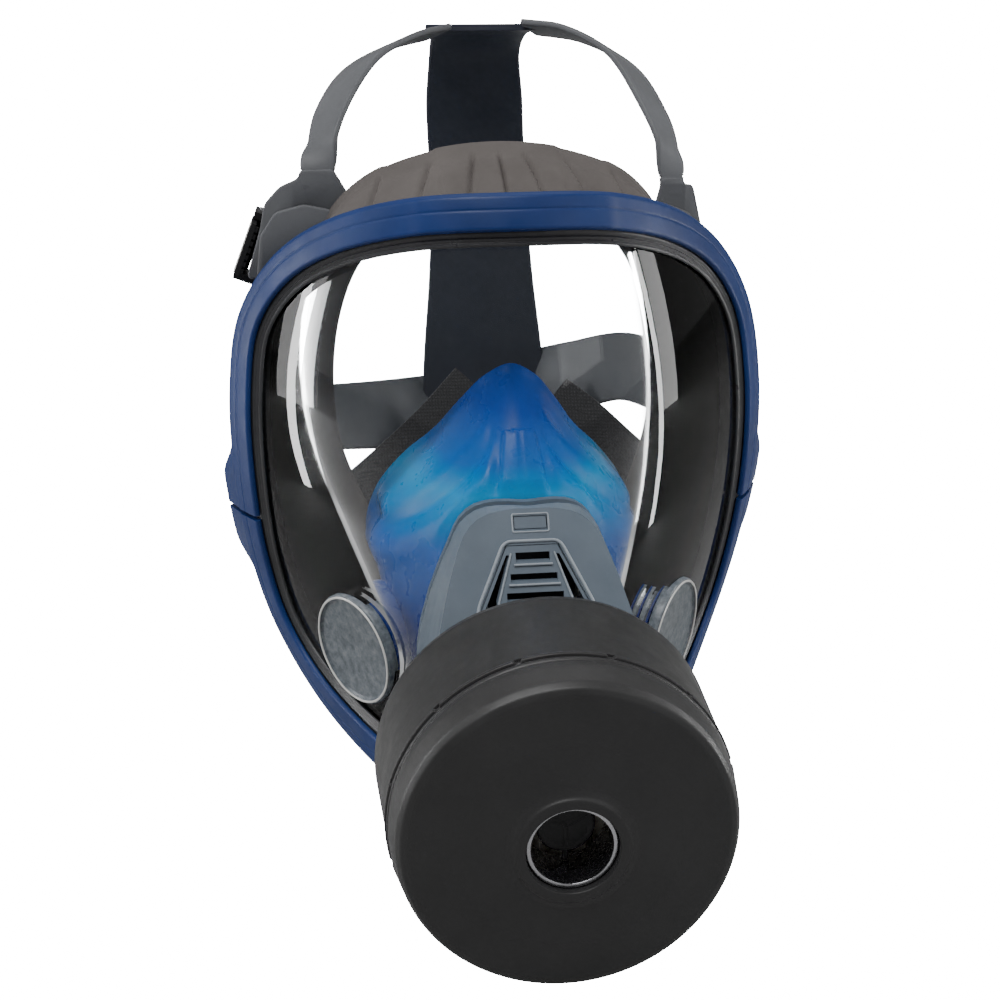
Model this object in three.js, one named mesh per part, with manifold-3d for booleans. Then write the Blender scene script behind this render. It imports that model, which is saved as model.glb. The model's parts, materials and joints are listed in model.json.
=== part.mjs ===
// Full face respirator with a single front canister.
// Millimetres, +Z up, worn upright: the wearer is behind (+Y) and the canister is in front (-Y).
// The origin is the centre of the face opening that the rubber seal surrounds.

import * as THREE from 'three';
import { mergeVertices } from 'three/addons/utils/BufferGeometryUtils.js';
import Module from 'manifold-3d';

const wasm = await Module();
wasm.setup();

// ---------------------------------------------------------------- driving dimensions
const GAP = 0.3;                 // air left between neighbouring solids
const TILT = THREE.MathUtils.degToRad(6);   // the canister axis droops by this much

// Lens: a bowl, y = front(z) + curve(z) * x^2.
const LENS = { front: -74, slope: 0.135, brow: 0.0018, curve: 0.009, browCurve: 4e-7, chinCurve: 7.9e-7 };
const LENS_WALL = 2.2;
const EDGE_STEPS = 48;           // stations round the lens edge: two to each control point
const LOOP_STEPS = 44;           // stations round the housing and the nose cup

// Right half of the lens edge as x, z from the brow to the chin.
const EDGE_HALF = [[0, 73], [32, 70.5], [56, 62], [73, 49], [85, 29], [89, 4],
  [88.5, -25], [84.5, -55], [76, -83], [62, -104], [42, -117.5], [21, -124.5], [0, -126]];

// Right half of the seal, at the same stations: its rear edge and the free edge of its lip.
const SEAL_HALF = [[0, 0, 88], [25, 1, 85], [46, 5, 76], [60, 11, 60], [68, 16, 37], [71, 18, 8],
  [70, 18, -20], [64, 14, -47], [55, 5, -70], [44, -7, -86], [30, -17, -95], [15, -24, -100.5], [0, -26, -102]];
const LIP_HALF = [[0, 4, 66], [19, 4, 64], [35, 7, 58], [47, 11, 45], [54, 14, 27], [57, 15, 5],
  [55.5, 15, -18], [48, 11, -39], [39, 3, -55], [30, -6, -66], [20, -14, -73.5], [10, -19.5, -78], [0, -21, -79]];

// Right half of the nose cup: the edge on the face and the bulge half way to the housing.
const CUP_WALL = 2;
const CUP_REAR_HALF = [[0, -34, 17], [8, -32, 13], [16, -25, 3], [24, -16, -9], [34, -7, -20], [43, -1, -33],
  [47, 0, -47], [44, -5, -60], [37, -14, -70], [27, -25, -79], [14, -33, -84], [0, -37, -86]];
const CUP_MID_HALF = [[0, -54, 2], [7, -53, 0], [15, -50, -6], [24, -44, -14], [34, -38, -24], [42, -34, -37],
  [44, -34, -50], [43, -38, -64], [38, -45, -79], [29, -53, -92], [15, -60, -101], [0, -62, -104]];

// Housing outline, right half as x, z about the port axis, from the top to the bottom.
const ARCH_HALF = [[0, 68], [10, 67.6], [17, 65.6], [22, 61.2], [25.5, 54], [29.5, 43], [33, 31],
  [36, 16], [35.5, -2], [30, -17], [16, -26], [0, -27]];
const ARCH_WALL = 3;
const THROAT_FLOOR = -14.6;      // the throat through the lens is flat at the bottom
const SLOPE_TOP = { y: 34, z: 68 };            // a point on the sloping front of the housing
const SLOPE_ANGLE = THREE.MathUtils.degToRad(36.5);
const FRONT_PLANE = 1.5;         // the housing's front plane, just behind the canister

const PORT = { x: 0, y: -105.9, z: -90.8 };  // port axis at the canister's rear face
const THREAD = { radius: 20.3, ring: 22.5, depth: 9.5, crest: 19.9, root: 18.4, pitch: 3.63 };
const EXHALE_Z = 41;             // height of the exhalation valve above the port axis

const CAN = { rear: 54, seam: 53, crease: 50, length: 59.4, cover: 14.1, wall: 1.6 };
const INLET = { radius: 14.1, rim: 17.2, rise: 6.2 };

const PLUG = { x: 55, z: -78.5, radius: 20, proud: 1.2 };
const DUCT = { outer: 18.5, inner: 16.7 };
const BUCKLE = { length: 22, width: 25, pinHeight: 7.2, pinRadius: 1.3 };
const STRAP = 2.4;               // thickness of the rubber harness

// ---------------------------------------------------------------- materials
const finish = (color, roughness, metalness = 0) => () =>
  new THREE.MeshStandardMaterial({ color, roughness, metalness });
const clear = () => new THREE.MeshStandardMaterial(
  { color: 0xe8f0f4, roughness: 0.05, metalness: 0, transparent: true, opacity: 0.35 });
const SKIRT_GREY = finish(0x5f5955, 0.6);
const RING_BLUE = finish(0x28417d, 0.35);
const CUP_BLUE = finish(0x1a6fb8, 0.3);
const HOUSING_GREY = finish(0x6e7d8c, 0.5);
const CANISTER_BLACK = finish(0x323234, 0.55);
const RUBBER_BLACK = finish(0x141414, 0.7);
const STRAP_GREY = finish(0x5f6166, 0.65);
const BAND_BLUE_BLACK = finish(0x282c37, 0.6);
const STEEL = finish(0xb8bcc0, 0.3, 1);
const FILTER_WHITE = finish(0xdedcd2, 0.9);
const CARBON = finish(0x1b1b1b, 0.95);
const FROST = finish(0x8f989d, 0.5);

// ---------------------------------------------------------------- shape helpers
const v3 = (x, y, z) => new THREE.Vector3(x, y, z);
const mirrorHalf = (half) => [...half, ...half.slice(1, -1).reverse().map(([x, ...rest]) => [-x, ...rest])];

function solid(geometry) {
  const bare = geometry.index ? geometry.toNonIndexed() : geometry.clone();
  for (const name of Object.keys(bare.attributes)) if (name !== 'position') bare.deleteAttribute(name);
  const merged = mergeVertices(bare, 1e-4);
  const mesh = new wasm.Mesh({
    numProp: 3,
    vertProperties: new Float32Array(merged.attributes.position.array),
    triVerts: new Uint32Array(merged.index.array),
  });
  return new wasm.Manifold(mesh);
}

function geometryOf(manifold) {
  const mesh = manifold.getMesh();
  const geometry = new THREE.BufferGeometry();
  geometry.setAttribute('position', new THREE.Float32BufferAttribute(mesh.vertProperties, 3));
  geometry.setIndex(new THREE.Uint32BufferAttribute(mesh.triVerts, 1));
  return geometry;
}

function signedVolume(points, faces) {
  return faces.reduce((sum, [a, b, c]) =>
    sum + points[a].dot(v3(0, 0, 0).crossVectors(points[b], points[c])) / 6, 0);
}

// Closed surface through rings of points; the last ring joins the first, or both ends are capped.
function skin(rings, closed) {
  const n = rings[0].length;
  const points = rings.flat();
  const faces = [];
  const spans = closed ? rings.length : rings.length - 1;
  for (let i = 0; i < spans; i += 1) {
    const a = i * n;
    const b = ((i + 1) % rings.length) * n;
    for (let j = 0; j < n; j += 1) {
      const k = (j + 1) % n;
      faces.push([a + j, b + j, b + k], [a + j, b + k, a + k]);
    }
  }
  if (!closed) {
    const flat = flatten(rings[0]);
    for (const [a, b, c] of THREE.ShapeUtils.triangulateShape(flat, [])) faces.push([a, b, c]);
    const end = (rings.length - 1) * n;
    const flatEnd = flatten(rings[rings.length - 1]);
    for (const [a, b, c] of THREE.ShapeUtils.triangulateShape(flatEnd, [])) faces.push([end + a, end + c, end + b]);
  }
  if (signedVolume(points, faces) < 0) faces.forEach((face) => face.reverse());
  const geometry = new THREE.BufferGeometry();
  geometry.setAttribute('position', new THREE.Float32BufferAttribute(points.flatMap((p) => [p.x, p.y, p.z]), 3));
  geometry.setIndex(faces.flat());
  return solid(geometry);
}

// A ring of 3-D points seen in its own plane, turning left.
function flatten(ring) {
  const normal = v3(0, 0, 0);
  ring.forEach((p, i) => {
    const q = ring[(i + 1) % ring.length];
    normal.add(v3(0, 0, 0).crossVectors(p, q));
  });
  normal.normalize();
  const across = v3(0, 0, 0).subVectors(ring[1], ring[0]).normalize();
  const up = v3(0, 0, 0).crossVectors(normal, across);
  return ring.map((p) => new THREE.Vector2(p.dot(across), p.dot(up)));
}

const box = (x, y, z, cx = 0, cy = 0, cz = 0) => solid(new THREE.BoxGeometry(x, y, z).translate(cx, cy, cz));

// Cylinder along Y between two y values.
function drum(radius, y0, y1, x = 0, z = 0, sides = 32) {
  return solid(new THREE.CylinderGeometry(radius, radius, y1 - y0, sides).translate(x, (y0 + y1) / 2, z));
}

// Turned piece about the Y axis: the profile holds radius, y pairs and closes on itself.
function turned(profile, sides = 32, z = 0) {
  const loop = [...profile, profile[0]].map(([r, y]) => new THREE.Vector2(r, y));
  const area = profile.reduce((sum, [r, y], i) => {
    const [r2, y2] = profile[(i + 1) % profile.length];
    return sum + r * y2 - r2 * y;
  }, 0);
  if (area < 0) loop.reverse();
  return solid(new THREE.LatheGeometry(loop, sides).translate(0, 0, z));
}

// Outline of x, z points extruded along Y.
function slab(outline, y0, y1) {
  const shape = new THREE.Shape(outline.map(([x, z]) => new THREE.Vector2(x, z)));
  const geometry = new THREE.ExtrudeGeometry(shape, { depth: y1 - y0, bevelEnabled: false });
  return solid(geometry.rotateX(Math.PI / 2).translate(0, y1, 0));
}

// Moves every point of a closed outline inwards by the distance given.
function inset(outline, distance) {
  const n = outline.length;
  const middle = outline.reduce(([sx, sz], [x, z]) => [sx + x / n, sz + z / n], [0, 0]);
  return outline.map(([x, z], i) => {
    const [px, pz] = outline[(i + n - 1) % n];
    const [qx, qz] = outline[(i + 1) % n];
    const length = Math.hypot(qx - px, qz - pz);
    let nx = (qz - pz) / length;
    let nz = -(qx - px) / length;
    if (nx * (middle[0] - x) + nz * (middle[1] - z) < 0) [nx, nz] = [-nx, -nz];
    return [x + nx * distance, z + nz * distance];
  });
}

function smoothLoop(half, steps) {
  const points = mirrorHalf(half).map((p) => (p.length === 3 ? v3(...p) : v3(p[0], 0, p[1])));
  const curve = new THREE.CatmullRomCurve3(points, true, 'centripetal');
  return Array.from({ length: steps }, (unused, i) => curve.getPoint(i / steps));
}

// ---------------------------------------------------------------- lens surface and its edge
function lensDepth(x, z) {
  const front = LENS.front + LENS.slope * z + (z > 0 ? LENS.brow * z * z : 0);
  const curve = LENS.curve + (z > 0 ? LENS.browCurve : LENS.chinCurve) * z * z;
  return front + curve * x * x;
}

function lensNormal(x, z) {
  const step = 0.5;
  const dx = (lensDepth(x + step, z) - lensDepth(x - step, z)) / (2 * step);
  const dz = (lensDepth(x, z + step) - lensDepth(x, z - step)) / (2 * step);
  return v3(dx, -1, dz).normalize();
}

const lensPoint = (x, z) => v3(x, lensDepth(x, z), z);

// At each station: the edge point, the outward normal, the outward direction in the lens surface.
const EDGE = smoothLoop(EDGE_HALF, EDGE_STEPS).map((p) => lensPoint(p.x, p.z));
const FRAMES = EDGE.map((point, i) => {
  const before = EDGE[(i + EDGE_STEPS - 1) % EDGE_STEPS];
  const after = EDGE[(i + 1) % EDGE_STEPS];
  const along = v3(0, 0, 0).subVectors(after, before).normalize();
  const normal = lensNormal(point.x, point.z);
  const outward = v3(0, 0, 0).crossVectors(normal, along).normalize();
  if (outward.dot(v3(point.x, 0, point.z + 20)) < 0) outward.negate();
  normal.crossVectors(along, outward).normalize();
  if (normal.y > 0) normal.negate();
  return { point, along, normal, outward };
});

// Point `u` outwards from the edge and `v` in front of the lens; inside the edge it follows the lens surface.
function at(frame, [u, v]) {
  const p = frame.point.clone().addScaledVector(frame.outward, u);
  if (u > -2) return p.addScaledVector(frame.normal, v);
  return lensPoint(p.x, p.z).addScaledVector(lensNormal(p.x, p.z), v);
}

const band = (frames, section, closed) => skin(frames.map((frame) => section.map((uv) => at(frame, uv))), closed);

// Bowl between the lens surface moved by `front` and by `back` along y or the surface normal.
function bowl(place, farPlace) {
  const fractions = [0.3, 0.6, 0.8, 0.91, 1];
  const centre = -24;
  const points = [place(0, centre)];
  const far = [farPlace(0, centre)];
  for (const f of fractions) {
    for (const p of EDGE) {
      const x = p.x * f;
      const z = centre + (p.z - centre) * f;
      points.push(place(x, z));
      far.push(farPlace(x, z));
    }
  }
  const n = EDGE_STEPS;
  const faces = [];
  const total = points.length;
  for (let j = 0; j < n; j += 1) {
    const k = (j + 1) % n;
    faces.push([0, 1 + j, 1 + k], [total, total + 1 + k, total + 1 + j]);
    for (let r = 0; r < fractions.length - 1; r += 1) {
      const a = 1 + r * n;
      const b = a + n;
      faces.push([a + j, b + j, b + k], [a + j, b + k, a + k]);
      faces.push([total + a + j, total + b + k, total + b + j], [total + a + j, total + a + k, total + b + k]);
    }
    const rim = 1 + (fractions.length - 1) * n;
    faces.push([rim + j, total + rim + j, total + rim + k], [rim + j, total + rim + k, rim + k]);
  }
  const all = [...points, ...far];
  if (signedVolume(all, faces) < 0) faces.forEach((face) => face.reverse());
  const geometry = new THREE.BufferGeometry();
  geometry.setAttribute('position', new THREE.Float32BufferAttribute(all.flatMap((p) => [p.x, p.y, p.z]), 3));
  geometry.setIndex(faces.flat());
  return solid(geometry);
}

// Everything behind the lens's front surface moved along y by `shift`.
const behindLens = (shift) => bowl(
  (x, z) => v3(x, lensDepth(x, z) + shift, z), (x, z) => v3(x, 60, z));

// ---------------------------------------------------------------- scene
const respirator = new THREE.Group();
respirator.name = 'full_face_respirator';
const front = new THREE.Group();      // port frame: -Y is straight out of the canister
front.position.set(PORT.x, PORT.y, PORT.z);
front.rotation.x = TILT;
respirator.add(front);
front.updateMatrixWorld(true);

function add(group, name, manifold, material) {
  const mesh = new THREE.Mesh(geometryOf(manifold), material());
  mesh.name = name;
  group.add(mesh);
  return mesh;
}

const matrixArray = (matrix) => matrix.toArray();
const toWorld = (manifold) => manifold.transform(matrixArray(front.matrixWorld));
const toPort = (manifold) => manifold.transform(matrixArray(front.matrixWorld.clone().invert()));

const sides = [['left', -1], ['right', 1]];

// ---------------------------------------------------------------- lens, gasket, clamp ring, skirt
const arch = (distance, steps = LOOP_STEPS) => inset(smoothLoop(ARCH_HALF, steps).map((p) => [p.x, p.z]), distance);

function aboveFloor(manifold, floor) {
  return manifold.subtract(box(200, 200, 100, 0, 0, floor - 50));
}

function plugFrame(side) {
  const normal = lensNormal(side * PLUG.x, PLUG.z);
  const turn = new THREE.Quaternion().setFromUnitVectors(v3(0, -1, 0), normal);
  return new THREE.Matrix4().compose(lensPoint(side * PLUG.x, PLUG.z), turn, v3(1, 1, 1));
}

function buildLens() {
  const shell = bowl(lensPoint, (x, z) => lensPoint(x, z).addScaledVector(lensNormal(x, z), -LENS_WALL));
  const throat = toWorld(aboveFloor(slab(arch(ARCH_WALL + 0.4 - GAP), -10, 70), THROAT_FLOOR - GAP));
  let lens = shell.subtract(throat);
  for (const [, side] of sides) {
    lens = lens.subtract(drum(PLUG.radius + GAP, -12, 12).transform(matrixArray(plugFrame(side))));
  }
  return lens;
}

const GASKET_SECTION = [[-12, 0.4], [-12, 1.1], [-7.9, 1.4], [1.2, 1.4], [1.2, -3.9], [-6, -3.9], [-6, -2.9],
  [0.4, -2.9], [0.4, 0.4], [-6, 0.4]];
const RING_SECTION = [[-7.5, 2], [-7.5, 3.4], [-6.8, 4], [3.8, 4], [5.5, 2.4], [5.5, -13], [-1, -13],
  [-1, -10.9], [2.1, -10.9], [2.1, 2]];
const SPLIT = 13;                // station of the joint between the ring halves, right side

// Local axes at a station: X along the edge, Y outwards in the lens surface, Z out of the lens.
function frameMatrix(frame) {
  const matrix = new THREE.Matrix4().makeBasis(frame.along, frame.outward, frame.normal);
  return matrixArray(matrix.setPosition(frame.point));
}

function earBox(frame, along0, along1) {
  return box(along1 - along0, 9, 11, (along0 + along1) / 2, 8.8, -4.5).transform(frameMatrix(frame));
}

function alongEar(frame, radius, from, to, segments = 20) {
  const rod = new THREE.CylinderGeometry(radius, radius, to - from, segments)
    .rotateZ(-Math.PI / 2).translate((from + to) / 2, 9.8, -4.5);
  return solid(rod).transform(frameMatrix(frame));
}

function buildRing() {
  const leftSplit = EDGE_STEPS - SPLIT;
  let whole = band(FRAMES, RING_SECTION, true);
  for (const station of [SPLIT, leftSplit]) {
    whole = whole.subtract(box(1, 40, 40).transform(frameMatrix(FRAMES[station])));
  }
  let [upper, lower] = whole.decompose().sort((a, b) => b.boundingBox().max[2] - a.boundingBox().max[2]);
  for (const [name, side] of sides) {
    const frame = FRAMES[side > 0 ? SPLIT : leftSplit];
    // stations run brow to chin on the right and chin to brow on the left
    const up = -side;
    const [u0, u1] = up > 0 ? [0.5, 13] : [-13, -0.5];
    const hole = alongEar(frame, 2.2, -20, 20);
    upper = upper.add(earBox(frame, u0, u1)).subtract(hole);
    lower = lower.add(earBox(frame, -u1, -u0)).subtract(hole);
    const head = alongEar(frame, 3.2, ...(up > 0 ? [13.3, 16] : [-16, -13.3]));
    const shank = alongEar(frame, 1.9, ...(up > 0 ? [-17.5, 14] : [-14, 17.5]));
    add(respirator, `ring_screw_${name}`, head.add(shank), STEEL);
    const nut = alongEar(frame, 3.3, ...(up > 0 ? [-16.6, -13.3] : [13.3, 16.6]), 6)
      .subtract(alongEar(frame, 2.2, -30, 30));
    add(respirator, `ring_nut_${name}`, nut, STEEL);
  }
  add(respirator, 'clamp_ring_upper', upper, RING_BLUE);
  add(respirator, 'clamp_ring_lower', lower, RING_BLUE);
}

// Rubber body: a bead under the clamp ring, a wall back to the face and a lip turned inwards.
function buildSkirt() {
  const seal = smoothLoop(SEAL_HALF, EDGE_STEPS);
  const lip = smoothLoop(LIP_HALF, EDGE_STEPS);
  const rings = FRAMES.map((frame, i) => {
    const towards = v3(-seal[i].x, 0, -seal[i].z).normalize();
    const neckOuter = at(frame, [-1.5, -13.6]);
    const neckInner = at(frame, [-4.8, -13.6]);
    const outer = neckOuter.clone().lerp(seal[i], 0.5).addScaledVector(towards, -2);
    const inner = outer.clone().addScaledVector(towards, 3);
    const corner = seal[i].clone().addScaledVector(towards, 3).add(v3(0, -3, 0));
    const tip = lip[i].clone().add(v3(0, -1.6, 0));
    return [at(frame, [1.2, -4.4]), at(frame, [1.2, -10.4]), at(frame, [-1.5, -10.4]), neckOuter, outer,
      seal[i], lip[i], tip, corner, inner, neckInner, at(frame, [-5, -4.4])];
  });
  return skin(rings, true);
}

// ---------------------------------------------------------------- housing at the front
function behindSlope(shift) {
  const block = new THREE.BoxGeometry(300, 200, 300).translate(0, 100, 0).rotateX(-SLOPE_ANGLE)
    .translate(0, SLOPE_TOP.y + shift, SLOPE_TOP.z);
  return solid(block).intersect(box(300, 200, 300, 0, FRONT_PLANE + shift + 100, 0));
}

const frontCut = (outline, y0, y1, shift) => slab(outline, y0, y1).intersect(behindSlope(shift));
const GRILLE_OPENING = [[-8.6, 58.3], [8.6, 58.3], [18, 41.5], [18, 24.5], [-18, 24.5], [-18, 41.5]];
const LATCH = { width: 11, low: 62.2, high: 66 };

function buildCover() {
  const outside = toPort(behindLens(-0.45));
  let cover = frontCut(arch(0), 0, 60, 0).subtract(outside);
  cover = cover.subtract(frontCut(arch(ARCH_WALL), 0, 70, 2.6));
  cover = cover.subtract(box(90, 60, 30, 0, 36, -31));
  cover = cover.subtract(slab(GRILLE_OPENING, -5, 40));
  const window = [[-LATCH.width / 2, LATCH.low], [LATCH.width / 2, LATCH.low],
    [LATCH.width / 2, LATCH.high], [-LATCH.width / 2, LATCH.high]];
  cover = cover.subtract(slab(window, 0, 40));
  return cover.subtract(drum(THREAD.ring + GAP, -5, 40));
}

function buildHousing() {
  const body = frontCut(arch(ARCH_WALL + 0.4), 0, 90, 2.9);
  const frontPart = body.subtract(box(120, 100, 200, 0, 60.6, 0));
  const throat = aboveFloor(body, THROAT_FLOOR).subtract(toPort(behindLens(11)));
  const flange = aboveFloor(slab(arch(0.5), 0, 80), THROAT_FLOOR - 2.6)
    .intersect(toPort(behindLens(LENS_WALL + 1.8))).subtract(toPort(behindLens(LENS_WALL + 4)));
  let housing = frontPart.add(throat).add(flange);
  housing = housing.subtract(drum(17, -5, 90, 0, EXHALE_Z));
  housing = housing.subtract(slab(GRILLE_OPENING, -5, 24));
  housing = housing.subtract(drum(THREAD.ring + GAP, -5, THREAD.depth + FRONT_PLANE + GAP));
  housing = housing.subtract(drum(20.3, -5, 14));
  housing = housing.subtract(drum(13, -5, 90));
  housing = housing.subtract(box(LATCH.width + 2, 10, 6, 0, 31.2, 64.1));
  return housing;
}

function buildLatch() {
  const half = LATCH.width / 2 - GAP;
  const outline = [[-half, LATCH.low + GAP], [half, LATCH.low + GAP], [half, LATCH.high - GAP],
    [-half, LATCH.high - GAP]];
  return frontCut(outline, 0, 33.6, 0.4);
}

function buildGrille() {
  const outline = [[-8.3, 58], [8.3, 58], [17.7, 41.4], [17.7, 24.9], [-17.7, 24.9], [-17.7, 41.4]];
  let grille = frontCut(outline, 0, 60, 0.3).subtract(frontCut(outline, 0, 60, 2.6));
  const slots = [[53.6, 56.2, 5.5], [48.3, 50.6, 7.6], [43.2, 45.6, 9.2], [36.5, 40.6, 10.4]];
  for (const [low, high, half] of slots) {
    grille = grille.subtract(box(2 * half, 60, high - low, 0, 10, (low + high) / 2));
  }
  for (const side of [-1, 1]) {
    const gap = [[side * 7.6, 55.6], [side * 8.6, 55.6], [side * 16.2, 42], [side * 16.2, 28], [side * 12.6, 28],
      [side * 12.6, 43]];
    grille = grille.subtract(slab(side > 0 ? gap : gap.reverse(), -5, 40));
  }
  return grille;
}

// Spoked ring with a hub, for a valve disc to rest on.
function valveSeat(outer, inner, y0, y1, hub, z = 0, spokes = 3) {
  let seat = turned([[inner, y0], [outer, y0], [outer, y1], [inner, y1]], 28, z);
  for (let i = 0; i < spokes; i += 1) {
    const spoke = new THREE.BoxGeometry(inner + 1, y1 - y0, 1.8).translate((inner + 1) / 2, (y0 + y1) / 2, 0)
      .rotateY((2 * Math.PI * (i + 0.25)) / spokes).translate(0, 0, z);
    seat = seat.add(solid(spoke));
  }
  seat = seat.add(drum(hub + 1.8, y0, y1, 0, z, 20));
  return seat.subtract(drum(hub, y0 - 1, y1 + 1, 0, z, 20));
}

// Flexible disc with the stem that holds it in its seat.
function valveDisc(radius, y0, y1, stemRadius, stemEnd, z = 0) {
  const disc = drum(radius, Math.min(y0, y1), Math.max(y0, y1), 0, z);
  return disc.add(drum(stemRadius, Math.min(y1, stemEnd) - 0.2, Math.max(y1, stemEnd), 0, z, 16));
}

// World point on the line x, z of the port frame that lies `depth` behind the lens.
function behindLensOnPort(x, z, depth) {
  const local = v3(x, 30, z);
  const world = v3(0, 0, 0);
  for (let pass = 0; pass < 6; pass += 1) {
    world.copy(local).applyMatrix4(front.matrixWorld);
    local.y += lensDepth(world.x, world.z) + depth - world.y;
  }
  return world;
}

const CUP_STATIONS = [0, 0.25, 0.5, 0.76, 1];

// Lines from the face edge forward to the housing, moved outwards from the cup's middle.
function cupLines(offset) {
  const rear = smoothLoop(CUP_REAR_HALF, LOOP_STEPS);
  const mid = smoothLoop(CUP_MID_HALF, LOOP_STEPS);
  const collar = cupCollar();
  const outwards = (p) => v3(p.x, 0, p.z + 45).normalize();
  return rear.map((point, i) => {
    const nose = collar[i].clone().addScaledVector(outwards(collar[i]), CUP_WALL);
    const curve = new THREE.CatmullRomCurve3([point, mid[i], nose]);
    return CUP_STATIONS.map((t) => {
      const p = curve.getPoint(t);
      return p.addScaledVector(outwards(p), offset);
    });
  });
}

function cupCollar() {
  return arch(ARCH_WALL + 0.4 - GAP - 0.15)
    .map(([x, z]) => behindLensOnPort(x, Math.max(z, THROAT_FLOOR - GAP - 0.15), 9));
}

function buildNoseCup() {
  const inner = cupLines(-CUP_WALL * 1.25);
  const collar = cupCollar();
  const rings = cupLines(0).map((line, i) => [...line, collar[i], ...inner[i].slice(0, -1).reverse()]);
  const throat = aboveFloor(slab(arch(ARCH_WALL + 0.4 - GAP), -10, 70), THROAT_FLOOR - GAP);
  let cup = skin(rings, true).intersect(behindLens(LENS_WALL + 4.4)).subtract(toWorld(throat));
  for (const [, side] of sides) {
    cup = cup.subtract(drum(DUCT.outer + GAP, 8, 40).transform(matrixArray(plugFrame(side))));
  }
  return cup.decompose().sort((a, b) => b.volume() - a.volume())[0];
}

// Tube from each side port to the nose cup, holding the cup's check valve.
function buildDuct(side) {
  const tube = turned([[DUCT.inner, 24], [DUCT.outer, 24], [DUCT.outer, 5], [DUCT.outer + 0.8, 4.2],
    [DUCT.outer + 0.8, 3.2], [DUCT.inner, 3.2]]);
  return tube.transform(matrixArray(plugFrame(side)));
}

// ---------------------------------------------------------------- canister
function buildCanister() {
  const { rear, seam, crease, length, cover, wall } = CAN;
  const rimY = -(length - cover);
  const neckHole = THREAD.crest - 3.4;
  add(front, 'canister_body', turned([[neckHole, -0.8], [rear - 3, -0.8], [rear, -3.6], [rear, -5],
    [seam + 0.4, rimY + 3], [seam - 1.2, rimY + 2.2], [seam - 1.2, rimY], [seam - 3, rimY],
    [seam - 3, rimY + 4], [rear - wall, -5], [neckHole, -3]]), CANISTER_BLACK);
  const face = -length;
  const lip = face - INLET.rise;
  add(front, 'canister_front_cover', turned([[seam - 0.9, rimY + 1.9], [seam + 0.4, rimY + 1.9], [seam, rimY - 3.5],
    [crease + 1.4, face + 2], [crease, face], [34, face - 3], [INLET.rim + 0.8, lip + 0.9],
    [INLET.rim, lip], [INLET.radius, lip], [INLET.radius, lip + 3.2], [33, face - 0.6],
    [crease - 2.4, face + 2.6], [seam - 3.4, rimY - 0.4], [seam - 0.9, rimY - 0.4]]), CANISTER_BLACK);
  const r = INLET.radius - GAP;
  add(front, 'canister_inlet_sleeve', turned([[r - 1.4, lip + 0.7], [r, lip + 0.7], [r, lip + 3.3], [r + 2, lip + 3.9],
    [r + 2, lip + 5.2], [r, lip + 5.2], [r, -46.3], [r - 1.4, -46.3]]), STEEL);
  let baffle = drum(9, -50.4, -49);
  for (let i = 0; i < 3; i += 1) {
    const arm = new THREE.BoxGeometry(12, 1.2, 1.8).translate(6, -49.6, 0).rotateY((2 * Math.PI * (i + 0.75)) / 3);
    baffle = baffle.add(solid(arm));
  }
  add(front, 'canister_inlet_baffle', baffle, CANISTER_BLACK);
  const inner = seam - 3.4;
  add(front, 'particulate_filter', buildPleats(inner, -44.6, -34), FILTER_WHITE);
  add(front, 'sorbent_screen_front', drum(inner, -33.6, -32.8), STEEL);
  add(front, 'sorbent_bed', drum(inner, -32.5, -6.2), CARBON);
  add(front, 'sorbent_screen_rear', drum(inner, -5.9, -5.1), STEEL);
  buildNeck(neckHole);
}

// Pleated paper: a zigzag along X, cut to a disc and joined by a thin rim.
function buildPleats(radius, y0, y1) {
  const pleats = 14;
  const pitch = (2 * radius) / pleats;
  const upper = [];
  const lower = [];
  for (let i = 0; i <= 2 * pleats; i += 1) {
    const x = -radius + (i * pitch) / 2;
    const y = i % 2 ? y1 - 1.6 : y0;
    upper.push([x, y + 1.6]);
    lower.push([x, y]);
  }
  const shape = new THREE.Shape([...lower, ...upper.reverse()].map(([x, y]) => new THREE.Vector2(x, y)));
  const sheet = new THREE.ExtrudeGeometry(shape, { depth: 2 * radius, bevelEnabled: false });
  const disc = solid(sheet.translate(0, 0, -radius)).intersect(drum(radius - 0.5, y0 - 1, y1 + 1));
  return disc.add(turned([[radius - 1.6, y0], [radius, y0], [radius, y1], [radius - 1.6, y1]]));
}

// Neck with a round 1/7 inch thread, drawn as rings so that it turns freely in its own clearance.
function buildNeck(hole) {
  const { crest, root, pitch } = THREAD;
  const profile = [[14.5, -4.9], [hole + 2, -4.9], [hole + 2, -3.4], [hole - GAP, -3.4], [hole - GAP, -0.4],
    [root, -0.4], [root, 1.2]];
  for (let y = 1.8; y + pitch < 10.5; y += pitch) {
    profile.push([crest, y], [crest, y + 1.2], [root, y + 1.8], [root, y + pitch - 0.2]);
  }
  profile.push([root, 9.9], [14.5, 9.9]);
  add(front, 'canister_neck', turned(profile), CANISTER_BLACK);
}

// ---------------------------------------------------------------- harness
// Flat band through a few points. It faces away from the head's middle, except where `facing` turns it.
const HEAD = v3(4, 42, 10);

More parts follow.
